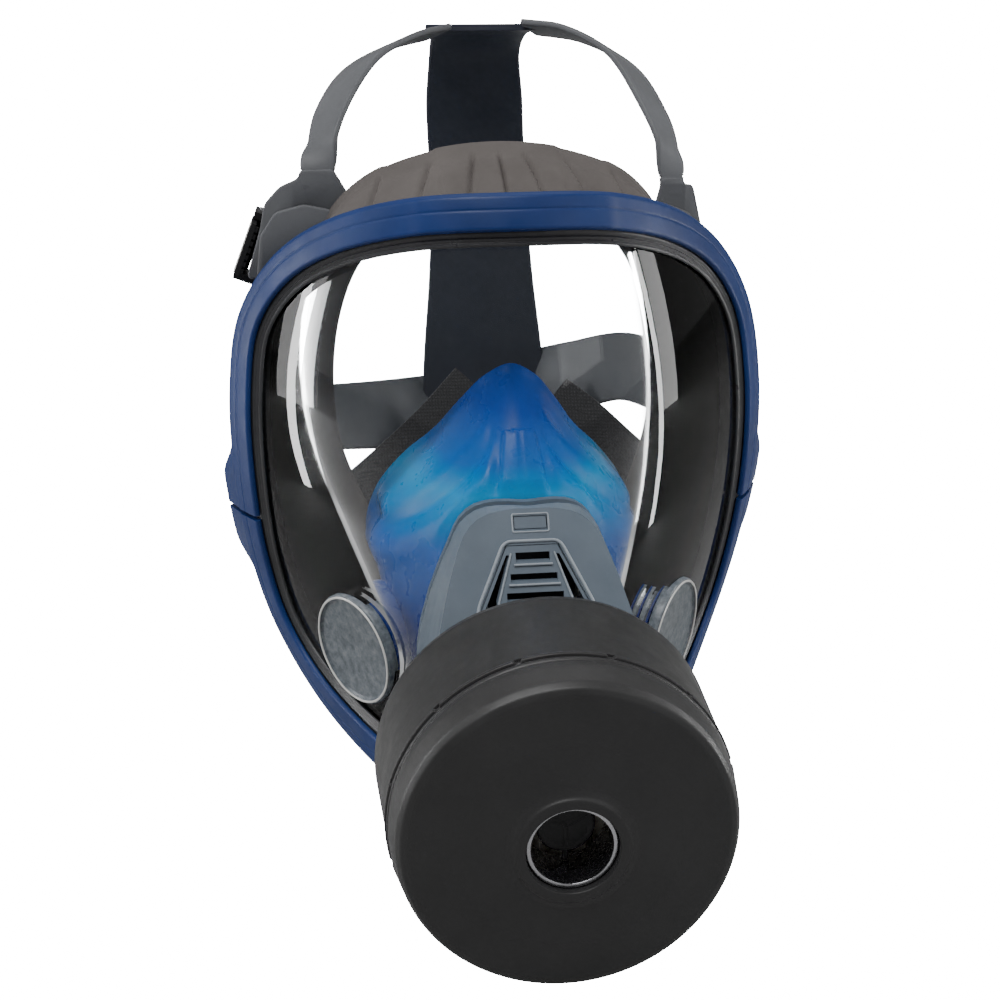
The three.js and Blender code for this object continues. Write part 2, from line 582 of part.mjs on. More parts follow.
function ribbon({ route, widths, facing = {}, steps = 14, thick = STRAP }, grow = 0) {
  const points = route.map((p) => v3(...p));
  const normals = points.map((p, i) => (facing[i] ? v3(...facing[i]) : p.clone().sub(HEAD)).normalize());
  const curve = new THREE.CatmullRomCurve3(points);
  const normalCurve = new THREE.CatmullRomCurve3(normals);
  const widthCurve = new THREE.SplineCurve(widths.map((w, i) => new THREE.Vector2(i, w)));
  const h = thick / 2 + grow;
  const soft = thick * 0.3;
  return skin(Array.from({ length: steps + 1 }, (unused, i) => {
    const t = i / steps;
    const p = curve.getPoint(t);
    const along = curve.getTangent(t);
    const out = normalCurve.getPoint(t);
    out.addScaledVector(along, -out.dot(along)).normalize();
    const across = v3(0, 0, 0).crossVectors(along, out);
    const half = widthCurve.getPoint(t).y / 2 + grow;
    const corner = (a, b) => p.clone().addScaledVector(across, a).addScaledVector(out, b);
    return [corner(-half, -h + soft), corner(-half + soft, -h), corner(half - soft, -h), corner(half, -h + soft),
      corner(half, h - soft), corner(half - soft, h), corner(-half + soft, h), corner(-half, h - soft)];
  }), false);
}

// ---------------------------------------------------------------- buckles
// Local frame: X along the strap away from the mask, Y along the pin, Z outwards.
function buckleMatrix({ centre, strap, out }) {
  const x = v3(...strap).normalize();
  const z = v3(...out);
  z.addScaledVector(x, -z.dot(x)).normalize();
  const y = v3(0, 0, 0).crossVectors(z, x);
  const matrix = new THREE.Matrix4().makeBasis(x, y, z);
  return matrix.setPosition(...centre);
}

const BUCKLES = {
  temple_left: { centre: [-77.6, 27, 47.5], strap: [0.05, 1, 0], out: [-0.93, 0, 0.36], root: [-72.5, 9.5, 47] },
  temple_right: { centre: [73.5, 28, 25.5], strap: [-0.05, 1, 0], out: [0.96, 0, 0.25], root: [69, 9.5, 26] },
  cheek_left: { centre: [-80, 32, -14], strap: [0.25, 1, 0], out: [-1, 0.2, -0.1], root: [-70.5, 14, -15] },
  cheek_right: { centre: [80, 32, -14], strap: [-0.25, 1, 0], out: [1, 0.2, -0.1], root: [70.5, 14, -15] },
};
// Moulded tabs that hold the neck straps.
const NECK_TABS = {
  left: { centre: [-66, 24, -55], strap: [0.1, 1, 0], out: [-1, 0, -0.2], root: [-60, 7.5, -56] },
  right: { centre: [66, 24, -55], strap: [-0.1, 1, 0], out: [1, 0, -0.2], root: [60, 7.5, -56] },
};
const STRAP_LIFT = 3.5;          // height of the strap's middle above a buckle's base

// Point of a buckle's strap, `run` millimetres from the buckle's middle.
function strapPoint(place, run, lift = STRAP_LIFT) {
  return v3(run, 0, lift).applyMatrix4(buckleMatrix(place)).toArray();
}

function buildBuckle(name, place) {
  const { length, width, pinHeight, pinRadius } = BUCKLE;
  const matrix = matrixArray(buckleMatrix(place));
  const inner = width - 5;
  let frame = box(length, width, 2, 0, 0, 1);
  frame = frame.subtract(box(length - 12, inner - 1, 6, 3.2, 0, 1));
  for (const side of [-1, 1]) {
    frame = frame.add(box(13, 2.5, pinHeight + 2.4, 0, side * (width - 2.5) / 2, (pinHeight + 2.4) / 2));
  }
  const bar = (radius, long, sides = 16) => solid(new THREE.CylinderGeometry(radius, radius, long, sides)
    .translate(0, 0, 0)).translate([2, 0, pinHeight]);
  frame = frame.subtract(bar(pinRadius + 0.15, width + 4));
  add(respirator, `${name}_frame`, frame.transform(matrix), RUBBER_BLACK);
  add(respirator, `${name}_pin`, bar(pinRadius, width + 1.6).transform(matrix), STEEL);
  let lever = bar(2, inner - 0.8, 20).add(box(17, inner - 0.8, 1.8, -6.5, 0, pinHeight + 1.8));
  const teeth = 7;
  for (let i = 0; i < teeth; i += 1) {
    const across = ((i + 0.5) / teeth - 0.5) * (inner - 2);
    lever = lever.add(box(2.2, 1.8, 1.6, -13.2, across, pinHeight + 0.6));
  }
  lever = lever.subtract(bar(pinRadius + 0.15, width + 4));
  add(respirator, `${name}_lever`, lever.transform(matrix), RUBBER_BLACK);
}

// Rubber tabs of the skirt that the buckle frames and the neck straps sit on.
function buckleTab(place) {
  const route = [place.root, strapPoint(place, -14, -2.4), strapPoint(place, -10, -2), strapPoint(place, 9, -2)];
  const wide = BUCKLE.width - 4;
  return ribbon({ route, widths: [wide, wide, wide, wide], facing: Array(4).fill(place.out), steps: 9, thick: 3 });
}

// Plates in the XZ plane at the temples: the skirt's lug, and the foot of the harness strap behind it.
const LUG_Y = [8, 11];
const FOOT_Y = [11.4, 13.8];
const TEMPLE = {
  left: {
    lug: [[-83, 42], [-81.4, 56], [-76, 64], [-66, 66.5], [-57, 64.5], [-50, 60], [-50, 48], [-62, 40]],
    foot: [[-55, 84], [-67, 84], [-68, 76], [-74, 72.5], [-79.6, 66.5], [-81, 59], [-86.4, 41], [-83.4, 40],
      [-78.4, 54], [-75, 61], [-70, 63], [-62, 62], [-49, 62], [-50, 69], [-54, 76]],
    riser: [[-60.5, 12.6, 76], [-58, 18, 86], [-54, 31, 98], [-44, 50, 110], [-27, 68, 116.5], [-10, 82, 118.6]],
  },
  right: {
    lug: [[78, 38], [75, 52], [70, 60], [60, 64], [52, 60], [50, 48], [62, 36]],
    foot: [[60, 76], [68, 76], [69, 69.5], [71.8, 69.5], [75, 55], [77.6, 42], [79.6, 34], [81.2, 18], [78.6, 17.5],
      [75.2, 33], [72.6, 45], [69, 56], [64, 62], [58, 62], [60, 69]],
    riser: [[64, 12.6, 70], [64.2, 19, 82], [61.5, 31, 92], [53.5, 50, 110], [38, 68, 118.5], [20, 82, 119.5]],
  },
};

function orient(outline) {
  const area = outline.reduce((sum, [x, z], i) => {
    const [x2, z2] = outline[(i + 1) % outline.length];
    return sum + x * z2 - x2 * z;
  }, 0);
  return area < 0 ? [...outline].reverse() : outline;
}

// ---------------------------------------------------------------- assembly
add(respirator, 'lens', buildLens(), clear);
add(respirator, 'lens_gasket', band(FRAMES, GASKET_SECTION, true), RUBBER_BLACK);
buildRing();
let skirt = buildSkirt();
const ringZone = band(FRAMES, [[-4, 5], [6, 5], [6, -13.4], [-4, -13.4]], true);
for (const [name] of sides) {
  skirt = skirt.add(slab(orient(TEMPLE[name].lug), ...LUG_Y).subtract(ringZone));
  for (const place of [BUCKLES[`temple_${name}`], BUCKLES[`cheek_${name}`], NECK_TABS[name]]) {
    skirt = skirt.add(buckleTab(place).subtract(ringZone));
  }
}
add(respirator, 'facepiece_skirt', skirt, SKIRT_GREY);

for (const [name, side] of sides) {
  const matrix = matrixArray(plugFrame(side));
  const disc = turned([[0, 2.6], [PLUG.radius, 2.6], [PLUG.radius, 0.6 - PLUG.proud], [PLUG.radius - 0.6, -PLUG.proud],
    [0, -PLUG.proud]]);
  add(respirator, `side_port_plug_${name}`, disc.transform(matrix), FROST);
  add(respirator, `side_duct_${name}`, buildDuct(side), CUP_BLUE);
  add(respirator, `check_valve_seat_${name}`, valveSeat(DUCT.inner - GAP, 10.6, 14, 16, 1.6).transform(matrix),
    FILTER_WHITE);
  add(respirator, `check_valve_disc_${name}`, valveDisc(14.8, 17.4, 16.3, 1.3, 12).transform(matrix), RUBBER_BLACK);
}

add(respirator, 'nosecup', buildNoseCup(), CUP_BLUE);
add(front, 'housing_cover', buildCover(), HOUSING_GREY);
add(front, 'valve_housing', buildHousing(), HOUSING_GREY);
add(front, 'cover_latch', buildLatch(), HOUSING_GREY);
add(front, 'exhalation_grille', buildGrille(), HOUSING_GREY);
add(front, 'exhalation_valve_seat', valveSeat(16.7, 13, 32.6, 34.6, 1.6, EXHALE_Z), FILTER_WHITE);
add(front, 'exhalation_valve_disc', valveDisc(15, 31, 32.3, 1.3, 37.6, EXHALE_Z), RUBBER_BLACK);
add(front, 'port_thread_ring', turned([[THREAD.radius, FRONT_PLANE - 0.7], [THREAD.ring, FRONT_PLANE - 0.7],
  [THREAD.ring, THREAD.depth + FRONT_PLANE], [THREAD.radius, THREAD.depth + FRONT_PLANE]]), CANISTER_BLACK);
add(front, 'port_gasket', turned([[14, 11.5], [20, 11.5], [20, 13.7], [14, 13.7]]), RUBBER_BLACK);
add(front, 'inhalation_valve_seat', valveSeat(12.7, 10, 16, 18, 1.6), FILTER_WHITE);
add(front, 'inhalation_valve_disc', valveDisc(11.6, 19.5, 18.3, 1.3, 13.5), RUBBER_BLACK);
buildCanister();

const crown = { route: [[5, 77, 120], [5, 90, 116.6], [5, 104, 108], [6, 114, 85], [8, 121, 50], [9, 124, 18],
  [10, 125, -30], [10.5, 124, -54]], widths: [34, 35, 36, 38, 38, 42, 50, 50], steps: 18 };
const crownCutter = ribbon(crown, GAP);
add(respirator, 'harness_band', ribbon(crown), BAND_BLUE_BLACK);

for (const [name] of sides) {
  const { foot, riser } = TEMPLE[name];
  const buckle = BUCKLES[`temple_${name}`];
  const tail = ribbon({ route: [-15.6, 2, 16].map((run) => strapPoint(buckle, run)), widths: [17, 18, 18],
    facing: [buckle.out, buckle.out, buckle.out], steps: 4 });
  const strap = ribbon({ route: riser, widths: [12, 15, 20, 22, 23, 26], facing: { 0: [0, -1, 0.1] }, steps: 16 });
  add(respirator, `temple_strap_${name}`,
    strap.add(slab(orient(foot), ...FOOT_Y)).add(tail).subtract(crownCutter), STRAP_GREY);
}

const CHEEK_ROUTES = {
  left: [[-73, 60, -22], [-54, 88, -30], [-28, 113, -36], [-12, 124, -38]],
  right: [[74, 58, -14], [61, 84, -13], [44, 108, -22], [32, 121, -28]],
};
const NECK_ROUTES = {
  left: [[-60, 50, -60], [-46, 72, -60], [-30, 88, -53], [-10, 101, -40], [6, 108, -26]],
  right: [[71, 50, -56], [66, 66, -55], [56, 77, -48], [44, 86, -38], [32, 95, -30]],
};
for (const [name] of sides) {
  const buckle = BUCKLES[`cheek_${name}`];
  const cheek = ribbon({
    route: [strapPoint(buckle, -8), strapPoint(buckle, 12), ...CHEEK_ROUTES[name]],
    widths: [17, 18, 24, 27, 29, 30], facing: { 0: buckle.out, 1: buckle.out } });
  add(respirator, `cheek_strap_${name}`, cheek.subtract(crownCutter), STRAP_GREY);
  const tab = NECK_TABS[name];
  const neck = ribbon({
    route: [strapPoint(tab, -8, 2.2), strapPoint(tab, 10, 2.2), ...NECK_ROUTES[name]],
    widths: [22, 22, 22, 23, 24, 25, 26], facing: { 0: tab.out, 1: tab.out } });
  add(respirator, `neck_strap_${name}`, neck.subtract(crownCutter), RUBBER_BLACK);
}
for (const [name, place] of Object.entries(BUCKLES)) buildBuckle(name, place);

export default respirator;
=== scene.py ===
import json
import math

import bmesh
import bpy
import numpy as np
from mathutils import Matrix, Vector


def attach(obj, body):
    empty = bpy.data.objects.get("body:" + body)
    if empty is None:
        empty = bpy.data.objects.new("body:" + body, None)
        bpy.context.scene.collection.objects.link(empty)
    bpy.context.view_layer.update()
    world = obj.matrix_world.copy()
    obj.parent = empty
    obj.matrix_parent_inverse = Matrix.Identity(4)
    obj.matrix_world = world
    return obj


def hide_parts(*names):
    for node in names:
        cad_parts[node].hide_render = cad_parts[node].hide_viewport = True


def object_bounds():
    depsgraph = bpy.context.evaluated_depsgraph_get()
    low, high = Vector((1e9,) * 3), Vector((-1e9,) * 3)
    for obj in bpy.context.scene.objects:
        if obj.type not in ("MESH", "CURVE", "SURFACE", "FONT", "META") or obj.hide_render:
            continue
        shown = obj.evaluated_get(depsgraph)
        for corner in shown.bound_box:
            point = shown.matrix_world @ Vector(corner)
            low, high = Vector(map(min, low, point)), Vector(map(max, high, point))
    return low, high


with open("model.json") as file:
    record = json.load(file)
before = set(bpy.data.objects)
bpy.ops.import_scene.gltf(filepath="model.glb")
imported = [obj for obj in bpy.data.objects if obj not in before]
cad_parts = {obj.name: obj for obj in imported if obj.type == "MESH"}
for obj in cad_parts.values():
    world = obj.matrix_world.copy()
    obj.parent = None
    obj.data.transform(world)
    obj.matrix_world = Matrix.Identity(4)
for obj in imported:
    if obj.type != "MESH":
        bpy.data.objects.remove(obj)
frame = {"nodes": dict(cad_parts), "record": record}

CAD_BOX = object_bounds()
MM = 0.001

# ---------------------------------------------------------------- driving dimensions, in millimetres
LENS = dict(front=-74.0, slope=0.135, brow=0.0018, curve=0.009, brow_curve=4e-7, chin_curve=7.9e-7)
LENS_WALL = 2.2
EDGE_HALF = [(0, 73), (32, 70.5), (56, 62), (73, 49), (85, 29), (89, 4),
             (88.5, -25), (84.5, -55), (76, -83), (62, -104), (42, -117.5), (21, -124.5), (0, -126)]
SEAL_HALF = [(0, 0, 88), (25, 1, 85), (46, 5, 76), (60, 11, 60), (68, 16, 37), (71, 18, 8), (70, 18, -20),
             (64, 14, -47), (55, 5, -70), (44, -7, -86), (30, -17, -95), (15, -24, -100.5), (0, -26, -102)]
LIP_HALF = [(0, 4, 66), (19, 4, 64), (35, 7, 58), (47, 11, 45), (54, 14, 27), (57, 15, 5), (55.5, 15, -18),
            (48, 11, -39), (39, 3, -55), (30, -6, -66), (20, -14, -73.5), (10, -19.5, -78), (0, -21, -79)]
CUP_WALL = 2.0
CUP_REAR_HALF = [(0, -34, 17), (8, -32, 13), (16, -25, 3), (24, -16, -9), (34, -7, -20), (43, -1, -33),
                 (47, 0, -47), (44, -5, -60), (37, -14, -70), (27, -25, -79), (14, -33, -84), (0, -37, -86)]
CUP_MID_HALF = [(0, -54, 2), (7, -53, 0), (15, -50, -6), (24, -44, -14), (34, -38, -24), (42, -34, -37),
                (44, -34, -50), (43, -38, -64), (38, -45, -79), (29, -53, -92), (15, -60, -101),
                (0, -62, -104)]
ARCH_HALF = [(0, 68), (10, 67.6), (17, 65.6), (22, 61.2), (25.5, 54), (29.5, 43), (33, 31),
             (36, 16), (35.5, -2), (30, -17), (16, -26), (0, -27)]
ARCH_INSET = 3.6                 # from the cover's outline to the throat's
THROAT_FLOOR = -14.9
CUP_DEPTH = 9.0                  # the nose cup's collar lies this far behind the lens
DUCT_OUTER = 18.5
DUCT_INNER = 16.7
PLUG_FACE = 1.2                  # the plug's face stands this far out of the lens
PLUG_RADIUS = 20.0
STRAP = 2.4


# ---------------------------------------------------------------- placing
JOINTS = {joint["name"]: joint for joint in frame["record"]["behaviour"]["joints"]}
PORT_AXIS = Vector(JOINTS["canister_unscrew"]["axis"])       # straight out of the canister
PORT = Vector(JOINTS["canister_unscrew"]["pos_m"]) / MM
TILT = Matrix.Rotation(math.asin(-PORT_AXIS.z), 4, "X")
PORT_MATRIX = Matrix.Translation(PORT) @ TILT


def port_point(p):
    return PORT_MATRIX @ Vector(p)


# ---------------------------------------------------------------- curves
def mirror_half(half):
    return list(half) + [(-p[0], *p[1:]) for p in reversed(half[1:-1])]


def spline(points, t, closed=False):
    """Point at t, from 0 to 1, on a centripetal curve through the points."""
    pts = [np.asarray(p, float) for p in points]
    n = len(pts)
    if closed:
        place = (t % 1.0) * n
        i = int(math.floor(place))
        w = place - i
        p0, p1, p2, p3 = (pts[(i + k) % n] for k in (-1, 0, 1, 2))
    else:
        place = min(max(t, 0.0), 1.0) * (n - 1)
        i = min(int(math.floor(place)), n - 2)
        w = place - i
        p1, p2 = pts[i], pts[i + 1]
        p0 = pts[i - 1] if i > 0 else 2 * p1 - p2
        p3 = pts[i + 2] if i + 2 < n else 2 * p2 - p1
    d0, d1, d2 = (max(np.linalg.norm(b - a), 1e-6) ** 0.5 for a, b in ((p0, p1), (p1, p2), (p2, p3)))
    m1 = ((p1 - p0) / d0 - (p2 - p0) / (d0 + d1) + (p2 - p1) / d1) * d1
    m2 = ((p2 - p1) / d1 - (p3 - p1) / (d1 + d2) + (p3 - p2) / d2) * d1
    c2 = -3 * p1 + 3 * p2 - 2 * m1 - m2
    c3 = 2 * p1 - 2 * p2 + m1 + m2
    return p1 + m1 * w + c2 * w * w + c3 * w ** 3


def loop(half, steps):
    points = mirror_half([p if len(p) == 3 else (p[0], 0, p[1]) for p in half])
    return [Vector(spline(points, i / steps, closed=True)) for i in range(steps)]


def rounded(outline, radius, steps=4):
    """The closed outline with every corner turned into a short curve."""
    result = []
    n = len(outline)
    for i, corner in enumerate(outline):
        c = np.asarray(corner, float)
        a = np.asarray(outline[i - 1], float) - c
        b = np.asarray(outline[(i + 1) % n], float) - c
        ra = min(radius, np.linalg.norm(a) * 0.45)
        rb = min(radius, np.linalg.norm(b) * 0.45)
        start = c + a / np.linalg.norm(a) * ra
        end = c + b / np.linalg.norm(b) * rb
        for k in range(steps + 1):
            t = k / steps
            result.append(tuple((1 - t) ** 2 * start + 2 * t * (1 - t) * c + t * t * end))
    return result


def smoothstep(a, b, x):
    t = min(max((x - a) / (b - a), 0.0), 1.0)
    return t * t * (3 - 2 * t)


def bell(x, centre, width):
    return math.exp(-((x - centre) / width) ** 2)


# ---------------------------------------------------------------- meshes
def make(name, verts, faces, body, slot, material, smooth=True, replaces=(), sharp=35):
    """A piece from points in millimetres. Edges turning by more than `sharp` degrees stay crisp."""
    mesh = bpy.data.meshes.new(name)
    mesh.from_pydata([tuple(c * MM for c in v) for v in verts], [], faces)
    bm = bmesh.new()
    bm.from_mesh(mesh)
    bmesh.ops.remove_doubles(bm, verts=bm.verts, dist=1e-7)
    bmesh.ops.recalc_face_normals(bm, faces=bm.faces)
    for face in bm.faces:
        face.smooth = smooth
    for edge in bm.edges:
        if len(edge.link_faces) == 2 and edge.calc_face_angle(0) > math.radians(sharp):
            edge.smooth = False
    bm.to_mesh(mesh)
    bm.free()
    obj = bpy.data.objects.new(name, mesh)
    bpy.context.scene.collection.objects.link(obj)
    obj.data.materials.append(material)
    finish_piece(obj, body, replaces)
    return obj


def finish_piece(obj, body, replaces=()):
    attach(obj, body)
    if replaces:
        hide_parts(*replaces)


def skin(rings, closed, cap=True):
    """Points and faces of a surface through rings of points."""
    n = len(rings[0])
    verts = [tuple(p) for ring in rings for p in ring]
    faces = []
    spans = len(rings) if closed else len(rings) - 1
    for i in range(spans):
        a, b = i * n, ((i + 1) % len(rings)) * n
        for j in range(n):
            k = (j + 1) % n
            faces.append((a + j, b + j, b + k, a + k))
    if not closed and cap:
        faces.append(tuple(reversed(range(n))))
        faces.append(tuple(range((len(rings) - 1) * n, len(rings) * n)))
    return verts, faces


def lathe(profile, matrix, sides=128, ripple=None):
    """A turned piece about the local Y axis, from radius and y. `ripple` changes a point by its angle."""
    rings = []
    for k in range(sides):
        angle = 2 * math.pi * k / sides
        ring = []
        for index, (r, y) in enumerate(profile):
            if ripple:
                r, y = ripple(index, angle, r, y)
            ring.append(matrix @ Vector((r * math.cos(angle), y, r * math.sin(angle))))
        rings.append(ring)
    return skin(rings, True)


def join(*parts):
    verts, faces = [], []
    for v, f in parts:
        base = len(verts)
        verts += v
        faces += [tuple(base + i for i in face) for face in f]
    return verts, faces


def rounded_box(size, matrix, radius=0.5, steps=3):
    """A box with rounded edges all round, made from stacked rounded outlines."""
    x, y, z = (s / 2 for s in size)
    radius = min(radius, x, y, z) * 0.98
    rings = []
    for k in range(steps + 1):
        a = math.pi / 2 * k / steps
        rings.append((radius * (1 - math.sin(a)), -z + radius * (1 - math.cos(a))))
    levels = rings + [(shrink, -level) for shrink, level in reversed(rings)]
    out = []
    for shrink, level in levels:
        ring = []
        for cx, cy, start in ((1, 1, 0), (-1, 1, 90), (-1, -1, 180), (1, -1, 270)):
            for k in range(steps + 1):
                a = math.radians(start + 90 * k / steps)
                r = max(radius - shrink, 1e-3)
                ring.append(matrix @ Vector((cx * (x - radius) + r * math.cos(a),
                                             cy * (y - radius) + r * math.sin(a), level)))
        out.append(ring)
    return skin(out, False)


# ---------------------------------------------------------------- lens surface and edge frames
def lens_depth(x, z):
    grow = LENS["brow"] * z * z if z > 0 else 0.0
    curve = LENS["curve"] + (LENS["brow_curve"] if z > 0 else LENS["chin_curve"]) * z * z
    return LENS["front"] + LENS["slope"] * z + grow + curve * x * x


def lens_normal(x, z):
    h = 0.5
    dx = (lens_depth(x + h, z) - lens_depth(x - h, z)) / (2 * h)
    dz = (lens_depth(x, z + h) - lens_depth(x, z - h)) / (2 * h)
    return Vector((dx, -1, dz)).normalized()


def lens_point(x, z):
    return Vector((x, lens_depth(x, z), z))


def edge_frames(steps):
    edge = [lens_point(p.x, p.z) for p in loop(EDGE_HALF, steps)]
    frames = []
    for i, point in enumerate(edge):
        along = (edge[(i + 1) % steps] - edge[i - 1]).normalized()
        normal = lens_normal(point.x, point.z)
        outward = normal.cross(along).normalized()
        if outward.dot(Vector((point.x, 0, point.z + 20))) < 0:
            outward.negate()
        normal = along.cross(outward).normalized()
        if normal.y > 0:
            normal.negate()
        frames.append((point, along, outward, normal))
    return frames


def at(edge_frame, u, v):
    point, along, outward, normal = edge_frame
    p = point + outward * u
    if u > -2:
        return p + normal * v
    return lens_point(p.x, p.z) + lens_normal(p.x, p.z) * v


def sweep(frames, section_at, closed=True):
    return skin([[at(f, u, v) for u, v in section_at(i, f)] for i, f in enumerate(frames)], closed)


# ---------------------------------------------------------------- materials
class Nodes:
    """A material's node tree with a few short-hands."""

    def __init__(self, name):
        self.material = bpy.data.materials.new(name)
        self.material.use_nodes = True
        self.tree = self.material.node_tree
        self.bsdf = self.tree.nodes["Principled BSDF"]
        self.place = self.new("ShaderNodeTexCoord").outputs["Object"]

    def new(self, kind, **values):
        node = self.tree.nodes.new(kind)
        for key, value in values.items():
            setattr(node, key, value)
        return node

    def link(self, a, b):
        self.tree.links.new(a, b)

    def noise(self, scale, detail=3.0, rough=0.55, place=None):
        node = self.new("ShaderNodeTexNoise")
        node.inputs["Scale"].default_value = scale
        node.inputs["Detail"].default_value = detail
        node.inputs["Roughness"].default_value = rough
        self.link(place or self.place, node.inputs["Vector"])
        return node.outputs["Fac"]

    def ramp(self, value, stops):
        node = self.new("ShaderNodeValToRGB")
        while len(node.color_ramp.elements) < len(stops):
            node.color_ramp.elements.new(0.5)
        for element, (position, colour) in zip(node.color_ramp.elements, stops):
            element.position = position
            element.color = (*colour, 1)
        self.link(value, node.inputs["Fac"])
        return node.outputs["Color"]

    def spread(self, value, low, high, start=0.0, end=1.0):
        node = self.new("ShaderNodeMapRange")
        node.inputs["From Min"].default_value = start
        node.inputs["From Max"].default_value = end
        node.inputs["To Min"].default_value = low
        node.inputs["To Max"].default_value = high
        self.link(value, node.inputs["Value"])
        return node.outputs["Result"]

    def bump(self, value, distance, strength=1.0, under=None):
        node = self.new("ShaderNodeBump")
        node.inputs["Distance"].default_value = distance
        node.inputs["Strength"].default_value = strength
        self.link(value, node.inputs["Height"])
        if under:
            self.link(under, node.inputs["Normal"])
        return node.outputs["Normal"]

    def mix(self, factor, a, b, blend="MIX"):
        node = self.new("ShaderNodeMix", data_type="RGBA", blend_type=blend)
        for socket, value in ((node.inputs[0], factor), (node.inputs[6], a), (node.inputs[7], b)):
            if isinstance(value, (int, float)):
                socket.default_value = value
            elif isinstance(value, tuple):
                socket.default_value = (*value, 1)
            else:
                self.link(value, socket)
        return node.outputs[2]

    def put(self, name, value):
        socket = self.bsdf.inputs[name]
        if isinstance(value, tuple):
            socket.default_value = (*value, 1)
        elif isinstance(value, (int, float)):
            socket.default_value = value
        else:
            self.link(value, socket)


def shade(colour, factor):
    return tuple(min(c * factor, 1.0) for c in colour)


def moulded(name, colour, rough, vary=0.25, grain=1400, grain_depth=0.00002, spec=0.5, coat=0.0, metal=0.0,
            dust=0.12):
    """Moulded plastic or rubber: fine grain, cloudy colour and roughness, and pale dust in patches."""
    n = Nodes(name)
    cloud = n.noise(38, 5)
    fine = n.noise(grain, 2)
    base = n.ramp(cloud, [(0.3, shade(colour, 1 - vary)), (0.7, shade(colour, 1 + vary))])
    specks = n.ramp(n.noise(420, 4, 0.7), [(0.56, (0, 0, 0)), (0.74, (1, 1, 1))])
    dusty = n.mix(dust, base, shade(colour, 2.2))
    n.put("Base Color", n.mix(specks, base, dusty))
    n.put("Roughness", n.spread(n.noise(90, 4), rough - 0.07, rough + 0.09, 0.3, 0.7))
    n.put("Normal", n.bump(fine, grain_depth))
    n.put("Specular IOR Level", spec)
    n.put("Coat Weight", coat)
    n.put("Metallic", metal)
    return n


def plain(name, colour, rough, **extra):
    return moulded(name, colour, rough, **extra).material


def metal(name, colour, rough, stretch=(1, 1, 1)):
    n = Nodes(name)
    mapping = n.new("ShaderNodeMapping")
    mapping.inputs["Scale"].default_value = stretch
    n.link(n.place, mapping.inputs["Vector"])
    lines = n.noise(900, 3, place=mapping.outputs["Vector"])
    n.put("Base Color", n.ramp(n.noise(60, 4), [(0.3, shade(colour, 0.8)), (0.7, shade(colour, 1.1))]))
    n.put("Metallic", 1.0)
    n.put("Roughness", n.spread(lines, rough, rough + 0.18, 0.3, 0.7))
    n.put("Normal", n.bump(lines, 0.00001))
    return n.material


def webbing(name, colour):
    """Woven elastic: crossed waves for the yarns and soft fibre noise."""
    n = Nodes(name)
    waves = []
    for axis in ("X", "Z"):
        wave = n.new("ShaderNodeTexWave", wave_type="BANDS", bands_direction=axis)
        wave.inputs["Scale"].default_value = 260
        wave.inputs["Distortion"].default_value = 1.2
        n.link(n.place, wave.inputs["Vector"])
        waves.append(wave.outputs["Fac"])
    product = n.new("ShaderNodeMath", operation="MULTIPLY")
    n.link(waves[0], product.inputs[0])
    n.link(waves[1], product.inputs[1])
    n.put("Base Color", n.ramp(product.outputs[0], [(0.1, shade(colour, 0.5)), (0.7, shade(colour, 1.9))]))
    n.put("Roughness", n.spread(n.noise(500), 0.8, 0.98))
    n.put("Normal", n.bump(product.outputs[0], 0.0002, under=n.bump(n.noise(1800), 0.00008)))
    n.put("Sheen Weight", 0.35)
    return n.material


def clear_material():
    """Clear lens: see-through, with its gloss by Fresnel and a faint haze of fine scratches."""
    n = Nodes("clear polycarbonate")
    out = n.tree.nodes["Material Output"]
    n.tree.nodes.remove(n.bsdf)
    see = n.new("ShaderNodeBsdfTransparent")
    see.inputs["Color"].default_value = (0.965, 0.975, 0.98, 1)
    gloss = n.new("ShaderNodeBsdfGlossy")
    gloss.inputs["Color"].default_value = (1, 1, 1, 1)
    n.link(n.spread(n.noise(240, 5), 0.006, 0.03, 0.35, 0.7), gloss.inputs["Roughness"])
    n.link(n.bump(n.noise(9, 2), 0.0003, 0.25), gloss.inputs["Normal"])
    fresnel = n.new("ShaderNodeFresnel")
    fresnel.inputs["IOR"].default_value = 1.32
    mix = n.new("ShaderNodeMixShader")
    n.link(fresnel.outputs[0], mix.inputs[0])
    n.link(see.outputs[0], mix.inputs[1])
    n.link(gloss.outputs[0], mix.inputs[2])
    n.link(mix.outputs[0], out.inputs["Surface"])
    return n.material


def silicone_blue_painted_light():
    """Blue silicone with painted light and shade by height: brighter and more cyan towards the bridge as
    painted light, deep blue low down as painted shade.
    """
    n = Nodes("blue silicone with painted light")
    parts = n.new("ShaderNodeSeparateXYZ")
    n.link(n.place, parts.inputs[0])
    # painted light and shade: the colour follows the height, lit cyan near the bridge and shaded deep blue
    # low down and towards the top
    height = n.spread(parts.outputs["Z"], 0.0, 1.0, -0.085, 0.015)
    cloudy = n.new("ShaderNodeMath", operation="MULTIPLY_ADD")
    n.link(n.noise(26, 4), cloudy.inputs[0])
    cloudy.inputs[1].default_value = 0.12
    n.link(height, cloudy.inputs[2])
    n.put("Base Color", n.ramp(cloudy.outputs[0], [
        (0.25, (0.0, 0.014, 0.13)), (0.5, (0.0, 0.085, 0.36)), (0.70, (0.002, 0.26, 0.56)),
        (0.80, (0.0, 0.11, 0.42)), (0.95, (0.0, 0.045, 0.28))]))
    n.put("Roughness", n.spread(n.noise(70, 4), 0.22, 0.36, 0.3, 0.7))
    n.put("Normal", n.bump(n.noise(120, 3), 0.0001, 0.3))
    n.put("Specular IOR Level", 0.3)
    n.put("Coat Weight", 0.05)
    n.put("Coat Roughness", 0.15)
    return n.material


